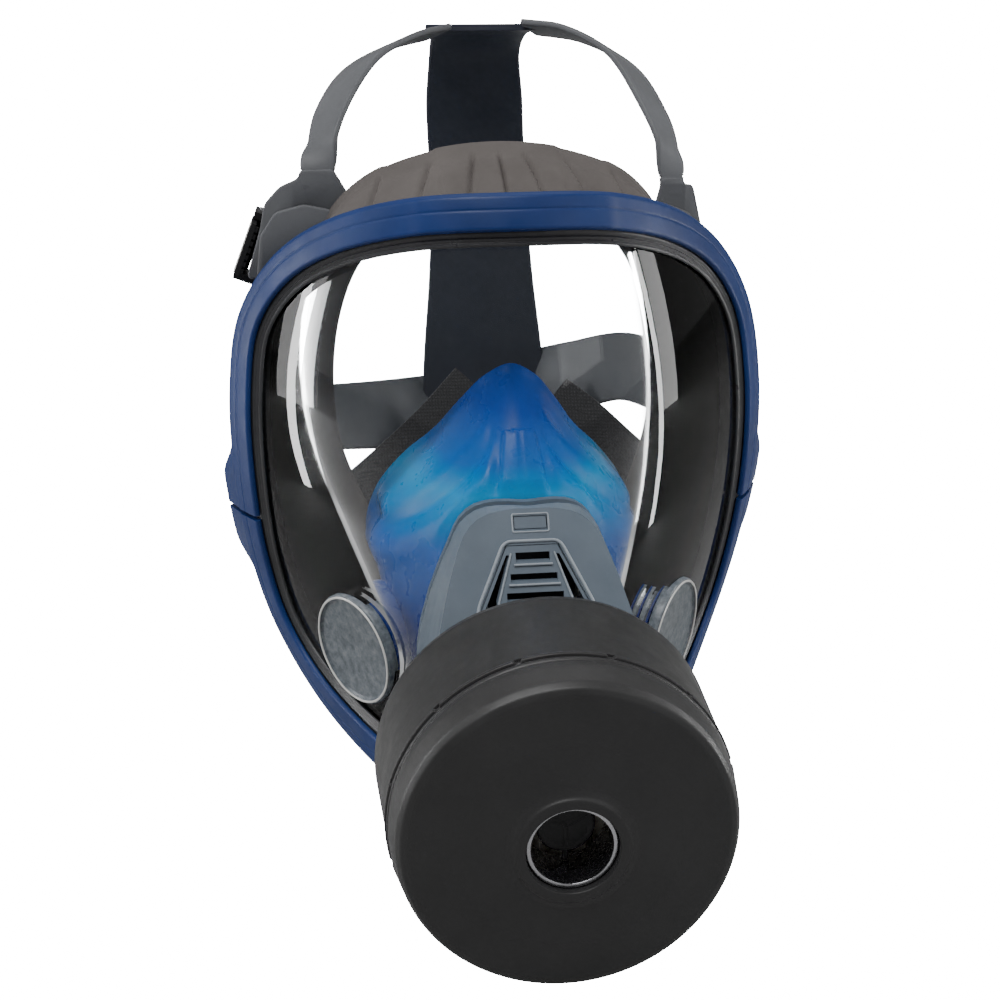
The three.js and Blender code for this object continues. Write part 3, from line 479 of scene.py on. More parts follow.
def frosted():
    """Frosted clear plastic over a filter: mottled blue-grey, half see-through."""
    n = Nodes("frosted plastic")
    mottle = n.noise(330, 5, 0.75)
    n.put("Base Color", n.ramp(mottle, [(0.32, (0.055, 0.07, 0.085)), (0.5, (0.12, 0.14, 0.16)),
                                        (0.72, (0.22, 0.24, 0.26))]))
    n.put("Roughness", n.spread(n.noise(160), 0.28, 0.5))
    n.put("Normal", n.bump(mottle, 0.0002, 0.6))
    n.put("Alpha", 0.88)
    n.put("Coat Weight", 0.15)
    return n.material


MATERIALS = {
    "clear": clear_material(),
    "skirt": plain("skirt silicone", (0.105, 0.095, 0.09), 0.7, vary=0.14, grain=1100, grain_depth=0.000012,
                   spec=0.12, dust=0.04),
    "ring": plain("ring plastic", (0.007, 0.028, 0.13), 0.42, vary=0.12, spec=0.28, dust=0.02),
    "gasket": plain("gasket rubber", (0.030, 0.031, 0.034), 0.34),
    # the blue silicone carries painted light and shade by height
    "cup": silicone_blue_painted_light(),
    "cover": plain("cover plastic", (0.105, 0.135, 0.17), 0.36, vary=0.1, dust=0.05),
    # pale colour for the cover's edge beads: a painted highlight, not the plastic's own colour
    "rim": plain("rim painted highlight", (0.30, 0.34, 0.38), 0.3, vary=0.08, dust=0.0),
    "black": plain("black plastic", (0.010, 0.010, 0.011), 0.4, spec=0.35),
    "canister": plain("canister plastic", (0.024, 0.024, 0.0245), 0.42, vary=0.12, grain_depth=0.00002,
                      spec=0.4,
                      dust=0.04),
    "bright": metal("bright sleeve", (0.50, 0.50, 0.52), 0.14),
    "steel": metal("plated steel", (0.55, 0.56, 0.58), 0.25, (1, 8, 1)),
    "screen": metal("screen aluminium", (0.5, 0.5, 0.52), 0.35),
    "paper": plain("filter paper", (0.72, 0.70, 0.63), 0.9, vary=0.08, grain=700, grain_depth=0.0001),
    "charcoal": plain("charcoal", (0.012, 0.012, 0.012), 0.85, grain=500, grain_depth=0.0006),
    "frosted": frosted(),
    "white": plain("white plastic", (0.62, 0.62, 0.60), 0.45, vary=0.06),
    "valve": plain("valve rubber", (0.018, 0.018, 0.02), 0.35),
    "strap": plain("strap rubber", (0.11, 0.114, 0.122), 0.5, vary=0.1, grain_depth=0.00002, spec=0.3,
                   dust=0.04),
    "slate": plain("dark strap rubber", (0.045, 0.05, 0.06), 0.46, vary=0.14, grain_depth=0.00002, dust=0.06),
    "band": plain("band rubber", (0.026, 0.031, 0.045), 0.4, vary=0.15, spec=0.4, dust=0.06),
    "webbing": webbing("neck webbing", (0.008, 0.008, 0.010)),
    "tooth": plain("bright tooth", (0.62, 0.62, 0.60), 0.25, vary=0.08),
}


# ---------------------------------------------------------------- lens, gasket and clamp ring
def build_lens():
    """The bowl between the lens surface and the wall behind it, open at the throat and the side ports."""
    steps, rows, centre = 192, 34, -24.0
    edge = loop(EDGE_HALF, steps)
    fractions = [(k / rows) ** 0.85 for k in range(1, rows + 1)]
    front, back = [], []
    for f in fractions:
        flat = [(p.x * f, centre + (p.z - centre) * f) for p in edge]
        front.append([lens_point(x, z) for x, z in flat])
        back.append([lens_point(x, z) - lens_normal(x, z) * LENS_WALL for x, z in flat])
    verts, faces = skin(front + back[::-1], False, cap=False)
    hub = len(verts)
    verts += [tuple(lens_point(0, centre)), tuple(lens_point(0, centre) - lens_normal(0, centre) * LENS_WALL)]
    last = (2 * rows - 1) * steps
    for j in range(steps):
        k = (j + 1) % steps
        faces += [(hub, k, j), (hub + 1, last + j, last + k)]
    lens = make("clear_lens", verts, faces, "facepiece", "clear_lens", MATERIALS["clear"], replaces=("lens",))
    cutters = [throat_cutter(), *[port_cutter(side) for side in (-1, 1)]]
    for cutter in cutters:
        cut = lens.modifiers.new("opening", "BOOLEAN")
        cut.operation = "DIFFERENCE"
        cut.solver = "EXACT"
        cut.object = cutter
    apply_modifiers(lens)
    for cutter in cutters:
        bpy.data.objects.remove(cutter)
    lens.visible_shadow = False
    return lens


def apply_modifiers(obj):
    graph = bpy.context.evaluated_depsgraph_get()
    mesh = bpy.data.meshes.new_from_object(obj.evaluated_get(graph))
    obj.modifiers.clear()
    obj.data = mesh


def loose(name, verts, faces):
    """An object that is only used to cut another."""
    mesh = bpy.data.meshes.new(name)
    mesh.from_pydata([tuple(c * MM for c in v) for v in verts], [], faces)
    bm = bmesh.new()
    bm.from_mesh(mesh)
    bmesh.ops.recalc_face_normals(bm, faces=bm.faces)
    bm.to_mesh(mesh)
    bm.free()
    obj = bpy.data.objects.new(name, mesh)
    bpy.context.scene.collection.objects.link(obj)
    return obj


def arch_outline(distance, steps=88):
    """The housing outline about the port axis, moved inwards."""
    points = [(p.x, p.z) for p in loop(ARCH_HALF, steps)]
    moved = []
    for i, (x, z) in enumerate(points):
        (px, pz), (qx, qz) = points[i - 1], points[(i + 1) % steps]
        length = math.hypot(qx - px, qz - pz)
        nx, nz = (qz - pz) / length, -(qx - px) / length
        if nx * -x + nz * (20 - z) < 0:
            nx, nz = -nx, -nz
        moved.append((x + nx * distance, z + nz * distance))
    return moved


def throat_cutter():
    outline = [(x, max(z, THROAT_FLOOR)) for x, z in arch_outline(ARCH_INSET - 0.6)]
    rings = [[port_point((x, y, z)) for x, z in outline] for y in (-10, 70)]
    return loose("throat_cutter", *skin(rings, False))


def port_matrix(side):
    """Frame of a side port: -Y is straight out of the lens."""
    mount = next(m for m in frame["record"]["mounts"]
                 if m["name"] == f"side_port_{'left' if side < 0 else 'right'}")
    normal = Vector(mount["axis"])
    face = Vector(mount["pos_m"]) / MM
    turn = Vector((0, -1, 0)).rotation_difference(normal).to_matrix().to_4x4()
    return Matrix.Translation(face - normal * PLUG_FACE) @ turn


def port_cutter(side):
    return loose("port_cutter", *lathe([(0.01, -12), (PLUG_RADIUS + 0.2, -12), (PLUG_RADIUS + 0.2, 12),
                                        (0.01, 12)], port_matrix(side), 72))


def ring_bump(point):
    """How far the ring swells for its screw ears, 0 to 1, by height."""
    return smoothstep(26, 11, abs(point.z - EAR_HEIGHT))


RING_SECTION = [(-7.5, 2), (-7.5, 3.5), (-6.8, 4.1), (-1.2, 4.1), (-0.9, 3.95), (-0.5, 3.95), (-0.2, 4.1),
                (3.6, 4.1), (5.5, 2.4), (5.5, -6), (5.2, -6.2), (5.2, -6.8), (5.5, -7), (5.5, -13), (-1, -13),
                (-1, -10.9), (2.1, -10.9), (2.1, 2)]
EAR_HEIGHT = -39.5
EAR_DEPTH = (1.0, -10.0)


def build_ring():
    steps = 420
    frames = edge_frames(steps)
    section = rounded(RING_SECTION, 0.7, 3)

    def section_at(i, edge_frame):
        point = edge_frame[0]
        swell = ring_bump(point) * 7.9
        panel = smoothstep(33, 30, abs(point.x) + 0.25 * (73 - point.z)) if point.z > 0 else 0
        out = []
        for u, v in section:
            if u > 3.4 and EAR_DEPTH[1] - 2.5 < v < EAR_DEPTH[0] + 2:
                u += swell * smoothstep(EAR_DEPTH[1] - 2.5, EAR_DEPTH[1], v)
            if v > 3.6:
                v += 0.45 * panel
            out.append((u, v))
        return out

    whole = [[at(f, u, v) for u, v in section_at(i, f)] for i, f in enumerate(frames)]
    above = [f[0].z > EAR_HEIGHT for f in frames]
    first = next(i for i in range(steps) if above[i] and not above[(i - 1) % steps])
    count = sum(above)
    trim = 1
    upper = [whole[(first + k) % steps] for k in range(trim - 1, count - trim + 1)]
    lower = [whole[(first + count + k) % steps] for k in range(trim - 1, steps - count - trim + 1)]
    for name, rings in (("upper", upper), ("lower", lower)):
        make(f"ring_{name}", *skin(rings, False), "facepiece", "blue_ring", MATERIALS["ring"],
             replaces=(f"clamp_ring_{name}",))


def build_gasket():
    section = rounded([(-12, 0.4), (-12, 1.1), (-11.2, 1.5), (-10.4, 0.8), (-9.6, 1.6), (-8.8, 0.9),
                       (-8, 1.7),
                       (1.2, 1.7), (1.2, -3.9), (-9, -3.9), (-9, -2.9), (0.4, -2.9), (0.4, 0.4), (-6, 0.4)],
                       0.25, 2)
    make("gasket_rubber", *sweep(edge_frames(300), lambda i, f: section), "facepiece", "black_rubber",
         MATERIALS["gasket"], replaces=("lens_gasket",))


# ---------------------------------------------------------------- rubber facepiece
GROOVES = [(7.5, 15), (22, 33), (39, 49)]        # x at the rear edge and at the ring, one side


def build_skirt():
    steps = 840
    frames = edge_frames(steps)
    seal = loop(SEAL_HALF, steps)
    lip = loop(LIP_HALF, steps)
    rings = []
    for i, edge_frame in enumerate(frames):
        s = seal[i]
        towards = Vector((-s.x, 0, -s.z)).normalized()
        neck_outer = at(edge_frame, -1.5, -13.6)
        neck_inner = at(edge_frame, -4.8, -13.6)
        middle = neck_outer.lerp(s, 0.5) - towards * 2
        inner = middle + towards * 3
        corner = s + towards * 3 + Vector((0, -3, 0))
        ring = [at(edge_frame, 1.2, -4.4), at(edge_frame, 1.2, -10.4), at(edge_frame, -1.5, -10.6)]
        brow = smoothstep(20, 40, edge_frame[0].z)
        for k in range(21):
            t = k / 20
            p = Vector(spline([neck_outer, middle, s], t))
            cut = 0.0
            for rear, near in GROOVES:
                line = near + (rear - near) * t
                cut += bell(abs(p.x), line, 0.75)
            cut = (cut + bell(p.x, 0, 0.6)) * smoothstep(0.06, 0.2, t) * smoothstep(0.86, 0.8, t)
            cut += 0.8 * bell(t, 0.82, 0.022)
            panel = smoothstep(20, 23, abs(p.x)) * smoothstep(40, 37, abs(p.x)) * smoothstep(0.1, 0.3, t)
            ring.append(p + towards * (brow * (1.7 * cut + 0.6 * panel)))
        tip = lip[i]
        edge_soft = (tip - s).normalized()
        for k in range(1, 6):
            ring.append(s.lerp(tip, k / 6) + Vector((0, 0.8, 0)) * math.sin(math.pi * k / 6))
        ring.append(tip - edge_soft * 1.6)
        for k in range(7):
            a = math.pi * k / 6
            ring.append(tip + edge_soft * (0.8 * math.sin(a) - 0.8)
                        + Vector((0, -0.8 + 0.8 * math.cos(a), 0)))
        tip_back = tip - edge_soft * 0.8 + Vector((0, -1.6, 0))
        ring += [tip_back - edge_soft * 0.8, *[tip_back.lerp(corner, k / 5) for k in range(1, 5)]]
        ring += [Vector(spline([corner, inner, neck_inner], k / 7)) for k in range(8)]
        ring.append(at(edge_frame, -5, -4.4))
        rings.append(ring)
    make("facepiece_rubber", *skin(rings, True), "facepiece", "grey_skirt", MATERIALS["skirt"],
         replaces=("facepiece_skirt",), sharp=50)


# ---------------------------------------------------------------- nose cup
def lens_on_port(x, z, depth):
    """Point on the line x, z of the port frame that lies `depth` behind the lens."""
    local = Vector((x, 30, z))
    for _ in range(6):
        world = port_point(local)
        local.y += lens_depth(world.x, world.z) + depth - world.y
    return port_point(local)


def cup_relief(x, z):
    """Height of the folds and of the boss moulded on the nose cup, from the wearer's side to side."""
    side = abs(x)
    boss = (smoothstep(5.4 + 0.16 * (-z), 4.4 + 0.16 * (-z), side)
            * smoothstep(-19.5, -18, z) * smoothstep(0, -1.5, z))
    line = -2 - 25 * (max(side - 9, 0.0) / 22) ** 0.8
    fold = z - line
    reach = smoothstep(7, 11, side)
    groove = -1.2 * bell(fold, 0, 2.3) * reach
    lobe = 2.2 * bell(fold, -8, 5.5) * reach + 1.1 * bell(fold, 4.5, 3) * reach
    centre = -0.4 * bell(side, 0, 0.6) * boss
    return 2.1 * boss + groove + lobe + centre


def build_nose_cup():
    steps = 240
    rear, mid = loop(CUP_REAR_HALF, steps), loop(CUP_MID_HALF, steps)
    collar = [lens_on_port(x, max(z, THROAT_FLOOR - 0.3), CUP_DEPTH)
              for x, z in arch_outline(ARCH_INSET - 0.6, steps)]
    rings = []
    stations = 44

    def away(p):
        return Vector((p.x, 0, p.z + 45)).normalized()

    for i in range(steps):
        nose = collar[i] + away(collar[i]) * CUP_WALL
        outer, inner = [], []
        for k in range(stations + 1):
            t = k / stations
            p = Vector(spline([rear[i], mid[i], nose], t))
            relief = cup_relief(p.x, p.z) * smoothstep(0.02, 0.12, t) * smoothstep(1.0, 0.93, t)
            rim = 0.9 * bell(t, 0.0, 0.05)
            outer.append(p + away(p) * (relief + rim))
            inner.append(p - away(p) * CUP_WALL)
        rings.append(outer + [collar[i]] + inner[::-1][1:])
    cup = make("nose_cup_silicone", *skin(rings, True), "facepiece", "blue_cup", MATERIALS["cup"],
               replaces=("nosecup",), sharp=60)
    cutters = [loose("duct_cutter", *lathe([(0.01, 6), (DUCT_OUTER + 0.2, 6), (DUCT_OUTER + 0.2, 34),
                                            (0.01, 34)],
                                           port_matrix(side), 72)) for side in (-1, 1)]
    for cutter in cutters:
        cut = cup.modifiers.new("duct", "BOOLEAN")
        cut.operation = "DIFFERENCE"
        cut.solver = "EXACT"
        cut.object = cutter
    apply_modifiers(cup)
    for cutter in cutters:
        bpy.data.objects.remove(cutter)


# ---------------------------------------------------------------- side ports
def build_side_port(name, side):
    matrix = port_matrix(side)
    plug = rounded([(0.01, 2.6), (PLUG_RADIUS, 2.6), (PLUG_RADIUS, -0.7), (PLUG_RADIUS - 0.5, -1.2),
                    (PLUG_RADIUS - 1.6, -1.2), (PLUG_RADIUS - 2.2, -0.5), (0.01, -0.5)], 0.3, 3)
    make(f"port_plug_{name}", *lathe(plug, matrix), "facepiece", "frosted_plug", MATERIALS["frosted"],
         replaces=(f"side_port_plug_{name}",))
    rim = rounded([(PLUG_RADIUS - 1.4, -1.2), (PLUG_RADIUS - 0.6, -1.2), (PLUG_RADIUS - 0.6, -1.7),
                   (PLUG_RADIUS - 1.4, -1.7)], 0.25, 3)
    make(f"port_rim_{name}", *lathe(rim, matrix), "facepiece", "white_plastic", MATERIALS["tooth"])
    duct = rounded([(DUCT_INNER, 24), (DUCT_OUTER, 24), (DUCT_OUTER, 17.6), (DUCT_OUTER + 0.7, 17),
                    (DUCT_OUTER + 0.7, 15.6), (DUCT_OUTER, 15), (DUCT_OUTER, 5), (DUCT_OUTER + 0.8, 4.2),
                    (DUCT_OUTER + 0.8, 3.2), (DUCT_INNER, 3.2)], 0.4, 3)
    make(f"duct_{name}", *lathe(duct, matrix), "facepiece", "blue_cup", MATERIALS["cup"],
         replaces=(f"side_duct_{name}",))


# ---------------------------------------------------------------- rims on the housing cover, pale beads as painted edge highlights
SLOPE_TOP = (34.0, 68.0)         # y and z of a point on the cover's sloping front
SLOPE_ANGLE = math.radians(36.5)
OPENING = [(-8.6, 58.3), (8.6, 58.3), (18, 41.5), (18, 30), (-18, 30), (-18, 41.5)]
LATCH_WINDOW = [(-5.5, 62.2), (5.5, 62.2), (5.5, 66), (-5.5, 66)]
# half width and height of each bar's lower edge
BARS = [(6.2, 53.0), (8.3, 47.7), (9.8, 42.6), (10.6, 35.9)]


def on_slope(x, z, lift=0.0):
    """Point on the sloping front of the cover, `lift` in front of it."""
    y = SLOPE_TOP[0] - (SLOPE_TOP[1] - z) * math.tan(SLOPE_ANGLE)
    return port_point((x, y - lift * math.cos(SLOPE_ANGLE), z + lift * math.sin(SLOPE_ANGLE)))


def bead(points, radius, closed, lift=0.0):
    """A round bead along points of the sloping front."""
    places = [on_slope(x, z, lift) for x, z in points]
    n = len(places)
    slope = (on_slope(0, 50, 1) - on_slope(0, 50)).normalized()
    rings = []
    for i, place in enumerate(places):
        before = places[i - 1] if closed or i else place
        after = places[(i + 1) % n] if closed or i + 1 < n else place
        along = (after - before).normalized()
        across = along.cross(slope)
        rings.append([place + (across * math.cos(a) + slope * math.sin(a)) * radius
                      for a in (2 * math.pi * k / 10 for k in range(10))])
    return skin(rings, closed)


def build_cover_rims():
    parts = [bead(rounded([(x * 1.06, z + (1.0 if z > 50 else 0)) for x, z in OPENING], 2.5, 8), 0.55, True,
                  0.1),
             bead(rounded([(x * 1.07, z + (0.5 if z > 64 else -0.5)) for x, z in LATCH_WINDOW], 0.6, 4),
                  0.3, True)]
    for half, z in BARS:
        parts.append(bead([(-half + 2 * half * k / 8, z) for k in range(9)], 0.42, False, 0.1))
    for side in (-1, 1):
        parts.append(bead([(side * 7.0, 56.2), (side * 9.0, 51), (side * 12, 43.2), (side * 12.1, 32)],
                          0.35, False))
    # the beads' pale colour is a painted highlight along the cover's edges and grille bars
    make("cover_rims", *join(*parts), "facepiece", "grey_housing", MATERIALS["rim"])


# ---------------------------------------------------------------- canister
CAN_REAR, CAN_SEAM, CAN_CREASE, CAN_LENGTH, CAN_COVER = 54.0, 53.0, 50.0, 59.4, 14.1
INLET_RADIUS, INLET_RIM, INLET_RISE = 14.1, 17.2, 6.2
NOTCHES = 12


def build_canister():
    rim_y = -(CAN_LENGTH - CAN_COVER)
    face = -CAN_LENGTH
    lip = face - INLET_RISE
    neck_hole = 16.5
    body = rounded([(neck_hole, -0.8), (CAN_REAR - 3, -0.8), (CAN_REAR - 0.6, -2.2), (CAN_REAR, -5),
                    (CAN_SEAM + 0.5, rim_y + 4.4), (CAN_SEAM + 0.9, rim_y + 4), (CAN_SEAM + 0.9, rim_y + 2.6),
                    (CAN_SEAM - 1.2, rim_y + 2.2), (CAN_SEAM - 1.2, rim_y), (CAN_SEAM - 3, rim_y),
                    (CAN_SEAM - 3, rim_y + 4), (CAN_REAR - 1.6, -5), (neck_hole, -3)], 0.35, 3)

    def notch(index, angle, r, y):
        near = min(abs((angle * NOTCHES / (2 * math.pi)) % 1 - 0.5) * 2, 1)
        if r > CAN_SEAM + 0.55 and rim_y + 2 < y < rim_y + 4.5:
            r -= 0.9 * smoothstep(0.1, 0.06, near)
        return r, y

    make("canister_shell", *lathe(body, PORT_MATRIX, 480, notch), "canister", "canister_black",
         MATERIALS["canister"], replaces=("canister_body",), sharp=40)
    cover = rounded([(CAN_SEAM - 0.9, rim_y + 1.9), (CAN_SEAM + 0.4, rim_y + 1.9),
                     (CAN_SEAM + 0.4, rim_y + 0.4),
                     (CAN_SEAM - 0.1, rim_y - 0.1), (CAN_SEAM + 0.1, rim_y - 1.0), (CAN_SEAM, rim_y - 3.5),
                     (CAN_CREASE + 1.9, face + 3), (CAN_CREASE + 0.6, face + 0.7),
                     (CAN_CREASE - 1.4, face - 0.35),
                     (34, face - 3), (INLET_RIM + 3, lip + 1.9), (INLET_RIM + 0.8, lip + 0.9),
                     (INLET_RIM, lip),
                     (INLET_RADIUS, lip), (INLET_RADIUS, lip + 3.2), (33, face - 0.6),
                     (CAN_CREASE - 2.4, face + 2.6), (CAN_SEAM - 3.4, rim_y - 0.4),
                     (CAN_SEAM - 0.9, rim_y - 0.4)],
                    0.6, 4)
    make("canister_cap", *lathe(cover, PORT_MATRIX, 256), "canister", "canister_black", MATERIALS["canister"],
         replaces=("canister_front_cover",), sharp=40)
    r = INLET_RADIUS - 0.3
    sleeve = rounded([(r - 1.4, lip + 2.6), (r, lip + 2.6), (r, lip + 3.3), (r + 2, lip + 3.9),
                      (r + 2, lip + 5.2),
                      (r, lip + 5.2), (r, -46.3), (r - 1.4, -46.3)], 0.3, 3)
    make("inlet_sleeve", *lathe(sleeve, PORT_MATRIX), "canister", "inlet_steel", MATERIALS["bright"],
         replaces=("canister_inlet_sleeve",))
    baffle = lathe(rounded([(0.01, -49), (9, -49), (9, -50), (8.4, -50.4), (7.6, -50.4), (7, -50.1),
                            (0.01, -50.1)],
                           0.25, 3), PORT_MATRIX, 96)
    arms = [rounded_box((12, 1.2, 1.8), PORT_MATRIX @ Matrix.Rotation(2 * math.pi * (i + 0.75) / 3, 4, "Y")
                        @ Matrix.Translation((6, -49.6, 0)), 0.4) for i in range(3)]
    make("inlet_baffle", *join(baffle, *arms), "canister", "canister_black", MATERIALS["black"],
         replaces=("canister_inlet_baffle",))


# ---------------------------------------------------------------- harness
HEAD = Vector((4, 42, 10))


def ribbon(route, widths, facing=None, steps=60, thick=STRAP, edge=None, shift=0.0):
    """A flat strap with rounded edges. `edge` adds to the half width at a place, by side."""
    facing = facing or {}
    normals = [Vector(facing[i]).normalized() if i in facing else (Vector(p) - HEAD).normalized()
               for i, p in enumerate(route)]
    rings = []
    for i in range(steps + 1):
        t = i / steps
        p = Vector(spline(route, t))
        along = (Vector(spline(route, min(t + 0.004, 1)))
                 - Vector(spline(route, max(t - 0.004, 0)))).normalized()
        out = Vector(spline(normals, t))
        out = (out - along * out.dot(along)).normalized()
        across = along.cross(out)
        half = float(spline([(w, 0, 0) for w in widths], t)[0]) / 2
        low = half + (edge(t, -1) if edge else 0)
        high = half + (edge(t, 1) if edge else 0)
        h = thick / 2
        ring = []
        for a, b in rounded([(-low, -h), (high, -h), (high, h), (-low, h)], thick * 0.42, 4):
            ring.append(p + across * a + out * (b + shift))
        rings.append(ring)
    return skin(rings, False)


def buckle_matrix(place):
    centre, strap, out = (Vector(place[key]) for key in ("centre", "strap", "out"))
    x = strap.normalized()
    z = (out - x * out.dot(x)).normalized()
    y = z.cross(x)
    matrix = Matrix((x, y, z)).transposed().to_4x4()
    matrix.translation = centre
    return matrix


BUCKLES = {
    "temple_left": dict(centre=(-77.6, 27, 47.5), strap=(0.05, 1, 0), out=(-0.93, 0, 0.36),
                        root=(-72.5, 9.5, 47)),
    "temple_right": dict(centre=(73.5, 28, 25.5), strap=(-0.05, 1, 0), out=(0.96, 0, 0.25),
                         root=(69, 9.5, 26)),
    "cheek_left": dict(centre=(-80, 32, -14), strap=(0.25, 1, 0), out=(-1, 0.2, -0.1), root=(-70.5, 14, -15)),
    "cheek_right": dict(centre=(80, 32, -14), strap=(-0.25, 1, 0), out=(1, 0.2, -0.1), root=(70.5, 14, -15)),
}
NECK_TABS = {
    "left": dict(centre=(-66, 24, -55), strap=(0.1, 1, 0), out=(-1, 0, -0.2), root=(-60, 7.5, -56)),
    "right": dict(centre=(66, 24, -55), strap=(-0.1, 1, 0), out=(1, 0, -0.2), root=(60, 7.5, -56)),
}
STRAP_LIFT = 3.5
BUCKLE_WIDTH = 25
PIN_HEIGHT = 7.2
LUG_Y = (8, 11)
FOOT_Y = (11.4, 13.8)
TEMPLE = {
    "left": dict(
        lug=[(-83, 42), (-81.4, 56), (-76, 64), (-66, 66.5), (-57, 64.5), (-50, 60), (-50, 48), (-62, 40)],
        foot=[(-55.2, 78), (-66.8, 78), (-67.6, 75), (-74, 72.5), (-79.6, 66.5), (-81, 59), (-86.4, 41),
              (-83.4, 40),
              (-78.4, 54), (-75, 61), (-70, 63), (-62, 62), (-49, 62), (-50, 69), (-54, 76)],
        riser=[(-61, 12.6, 68), (-60.8, 13.2, 77), (-58, 20, 88), (-53, 32, 98.5), (-42, 50, 110),
               (-26, 65, 116.4),
               (-12, 74, 118.8)]),
    "right": dict(
        lug=[(78, 38), (75, 52), (70, 60), (60, 64), (52, 60), (50, 48), (62, 36)],
        foot=[(60, 72), (68, 72), (69, 69.5), (71.8, 69.5), (75, 55), (77.6, 42), (79.6, 34), (81.2, 18),
              (78.6, 17.5),
              (75.2, 33), (72.6, 45), (69, 56), (64, 62), (58, 62), (60, 69)],
        riser=[(64, 12.6, 62), (64.2, 13.2, 72), (63.6, 20, 83), (60.5, 33, 95), (52.5, 50, 109.5),
               (37, 65, 118),
               (22, 74, 120)]),
}
RISER_WIDTHS = dict(left=[11.6, 12, 14.5, 18, 19.5, 19, 18], right=[8, 9, 13, 18, 20, 20, 18])
CROWN = dict(route=[(5, 70, 120.6), (5, 88, 117.2), (5, 104, 108), (6, 114, 85), (8, 121, 50), (9, 124, 18),
                    (10, 125, -30), (10.5, 124, -54)], widths=[44, 36, 35, 38, 38, 42, 50, 50])
CHEEK_ROUTES = {
    "left": [(-73, 60, -22), (-54, 88, -30), (-28, 113, -36), (-12, 124, -38)],
    "right": [(74, 58, -14), (61, 84, -13), (44, 108, -22), (32, 121, -28)],
}
CHEEK_WIDTHS = [17, 18, 24, 27, 29, 30]
NECK_ROUTES = {
    "left": [(-60, 50, -60), (-46, 72, -60), (-30, 88, -53), (-10, 101, -40), (6, 108, -26)],
    "right": [(71, 50, -56), (66, 66, -55), (56, 77, -48), (44, 86, -38), (32, 95, -30)],
}


def strap_point(place, run, lift=STRAP_LIFT):
    return tuple(buckle_matrix(place) @ Vector((run, 0, lift)))


def plate(outline, y0, y1, radius=1.6):
    """A flat rubber plate in the XZ plane with softened corners and edges."""
    outline = rounded(outline, radius, 4)
    middle = np.mean(np.array(outline), axis=0)
    rings = []
    for y, shrink in ((y0, 0.7), (y0 + 0.25, 0.2), (y0 + 0.7, 0), (y1 - 0.7, 0), (y1 - 0.25, 0.2), (y1, 0.7)):
        ring = []
        for x, z in outline:
            d = np.array([x, z]) - middle
            d = d * (1 - shrink / max(np.linalg.norm(d), 1e-6))
            ring.append(Vector((middle[0] + d[0], y, middle[1] + d[1])))
        rings.append(ring)
    return skin(rings, False)


def build_tabs():
    """Rubber tabs of the facepiece under the buckles and the neck straps."""
    for name, place in [*BUCKLES.items(), *[(f"neck_{k}", v) for k, v in NECK_TABS.items()]]:
        route = [place["root"], strap_point(place, -14, -2.4), strap_point(place, -10, -2),
                 strap_point(place, 9, -2)]
        wide = BUCKLE_WIDTH - 4
        parts = [ribbon(route, [wide] * 4, {i: place["out"] for i in range(4)}, 30, 3)]
        if name.startswith("temple"):
            parts.append(plate(TEMPLE[name.split("_")[1]]["lug"], *LUG_Y))
        make(f"tab_{name}", *join(*parts), "facepiece", "grey_skirt",
             MATERIALS["strap" if name.startswith("temple") else "skirt"])


def build_straps():
    make("crown_band", *ribbon(CROWN["route"], CROWN["widths"], steps=90), "facepiece", "dark_strap",
         MATERIALS["band"], replaces=("harness_band",))
    for name in ("left", "right"):
        spec = TEMPLE[name]
        buckle = BUCKLES[f"temple_{name}"]

        def notches(t, side):
            teeth = smoothstep(0.02, 0.05, t) * smoothstep(0.2, 0.17, t)
            return -0.7 * teeth * max(0.0, math.sin(t * 420))

        riser = ribbon(spec["riser"], RISER_WIDTHS[name], {0: (0, -1, 0.1), 1: (0, -1, 0.2)}, 160,
                       edge=notches)
        tail = ribbon([strap_point(buckle, run) for run in (-15.6, 2, 16)], [17, 18, 18],
                      {i: buckle["out"] for i in range(3)}, 24)
        make(f"temple_rubber_{name}", *join(riser, plate(spec["foot"], *FOOT_Y, 2.0), tail), "facepiece",
             "grey_strap", MATERIALS["strap"], replaces=(f"temple_strap_{name}",))
        buckle = BUCKLES[f"cheek_{name}"]
        route = [strap_point(buckle, -8), strap_point(buckle, 12), *CHEEK_ROUTES[name]]
        make(f"cheek_rubber_{name}",
             *ribbon(route, CHEEK_WIDTHS, {0: buckle["out"], 1: buckle["out"]}, 80),
             "facepiece", "grey_strap", MATERIALS["slate"], replaces=(f"cheek_strap_{name}",))
        tab = NECK_TABS[name]
        route = [strap_point(tab, -8, 2.2), strap_point(tab, 10, 2.2), *NECK_ROUTES[name]]
        make(f"neck_webbing_{name}",
             *ribbon(route, [22, 22, 22, 23, 24, 25, 26], {0: tab["out"], 1: tab["out"]}, 90),
             "facepiece", "neck_webbing", MATERIALS["webbing"], replaces=(f"neck_strap_{name}",))


def build_buckle_studs():
    """Two columns of bright grip teeth on each lever."""
    for name, place in BUCKLES.items():
        matrix = buckle_matrix(place)
        parts = []
        for column in (-12.6, -8.4):
            for i in range(8):
                spot = Matrix.Translation((column, (i - 3.5) * 2.35, PIN_HEIGHT + 2.75))
                diamond = spot @ Matrix.Rotation(math.pi / 4, 4, "Z") @ Matrix.Diagonal((1.3, 0.8, 1, 1))
                parts.append(rounded_box((1.7, 1.7, 0.7), matrix @ diamond, 0.3))
        make(f"{name}_studs", *join(*parts), f"{name}_lever", "white_plastic", MATERIALS["tooth"])


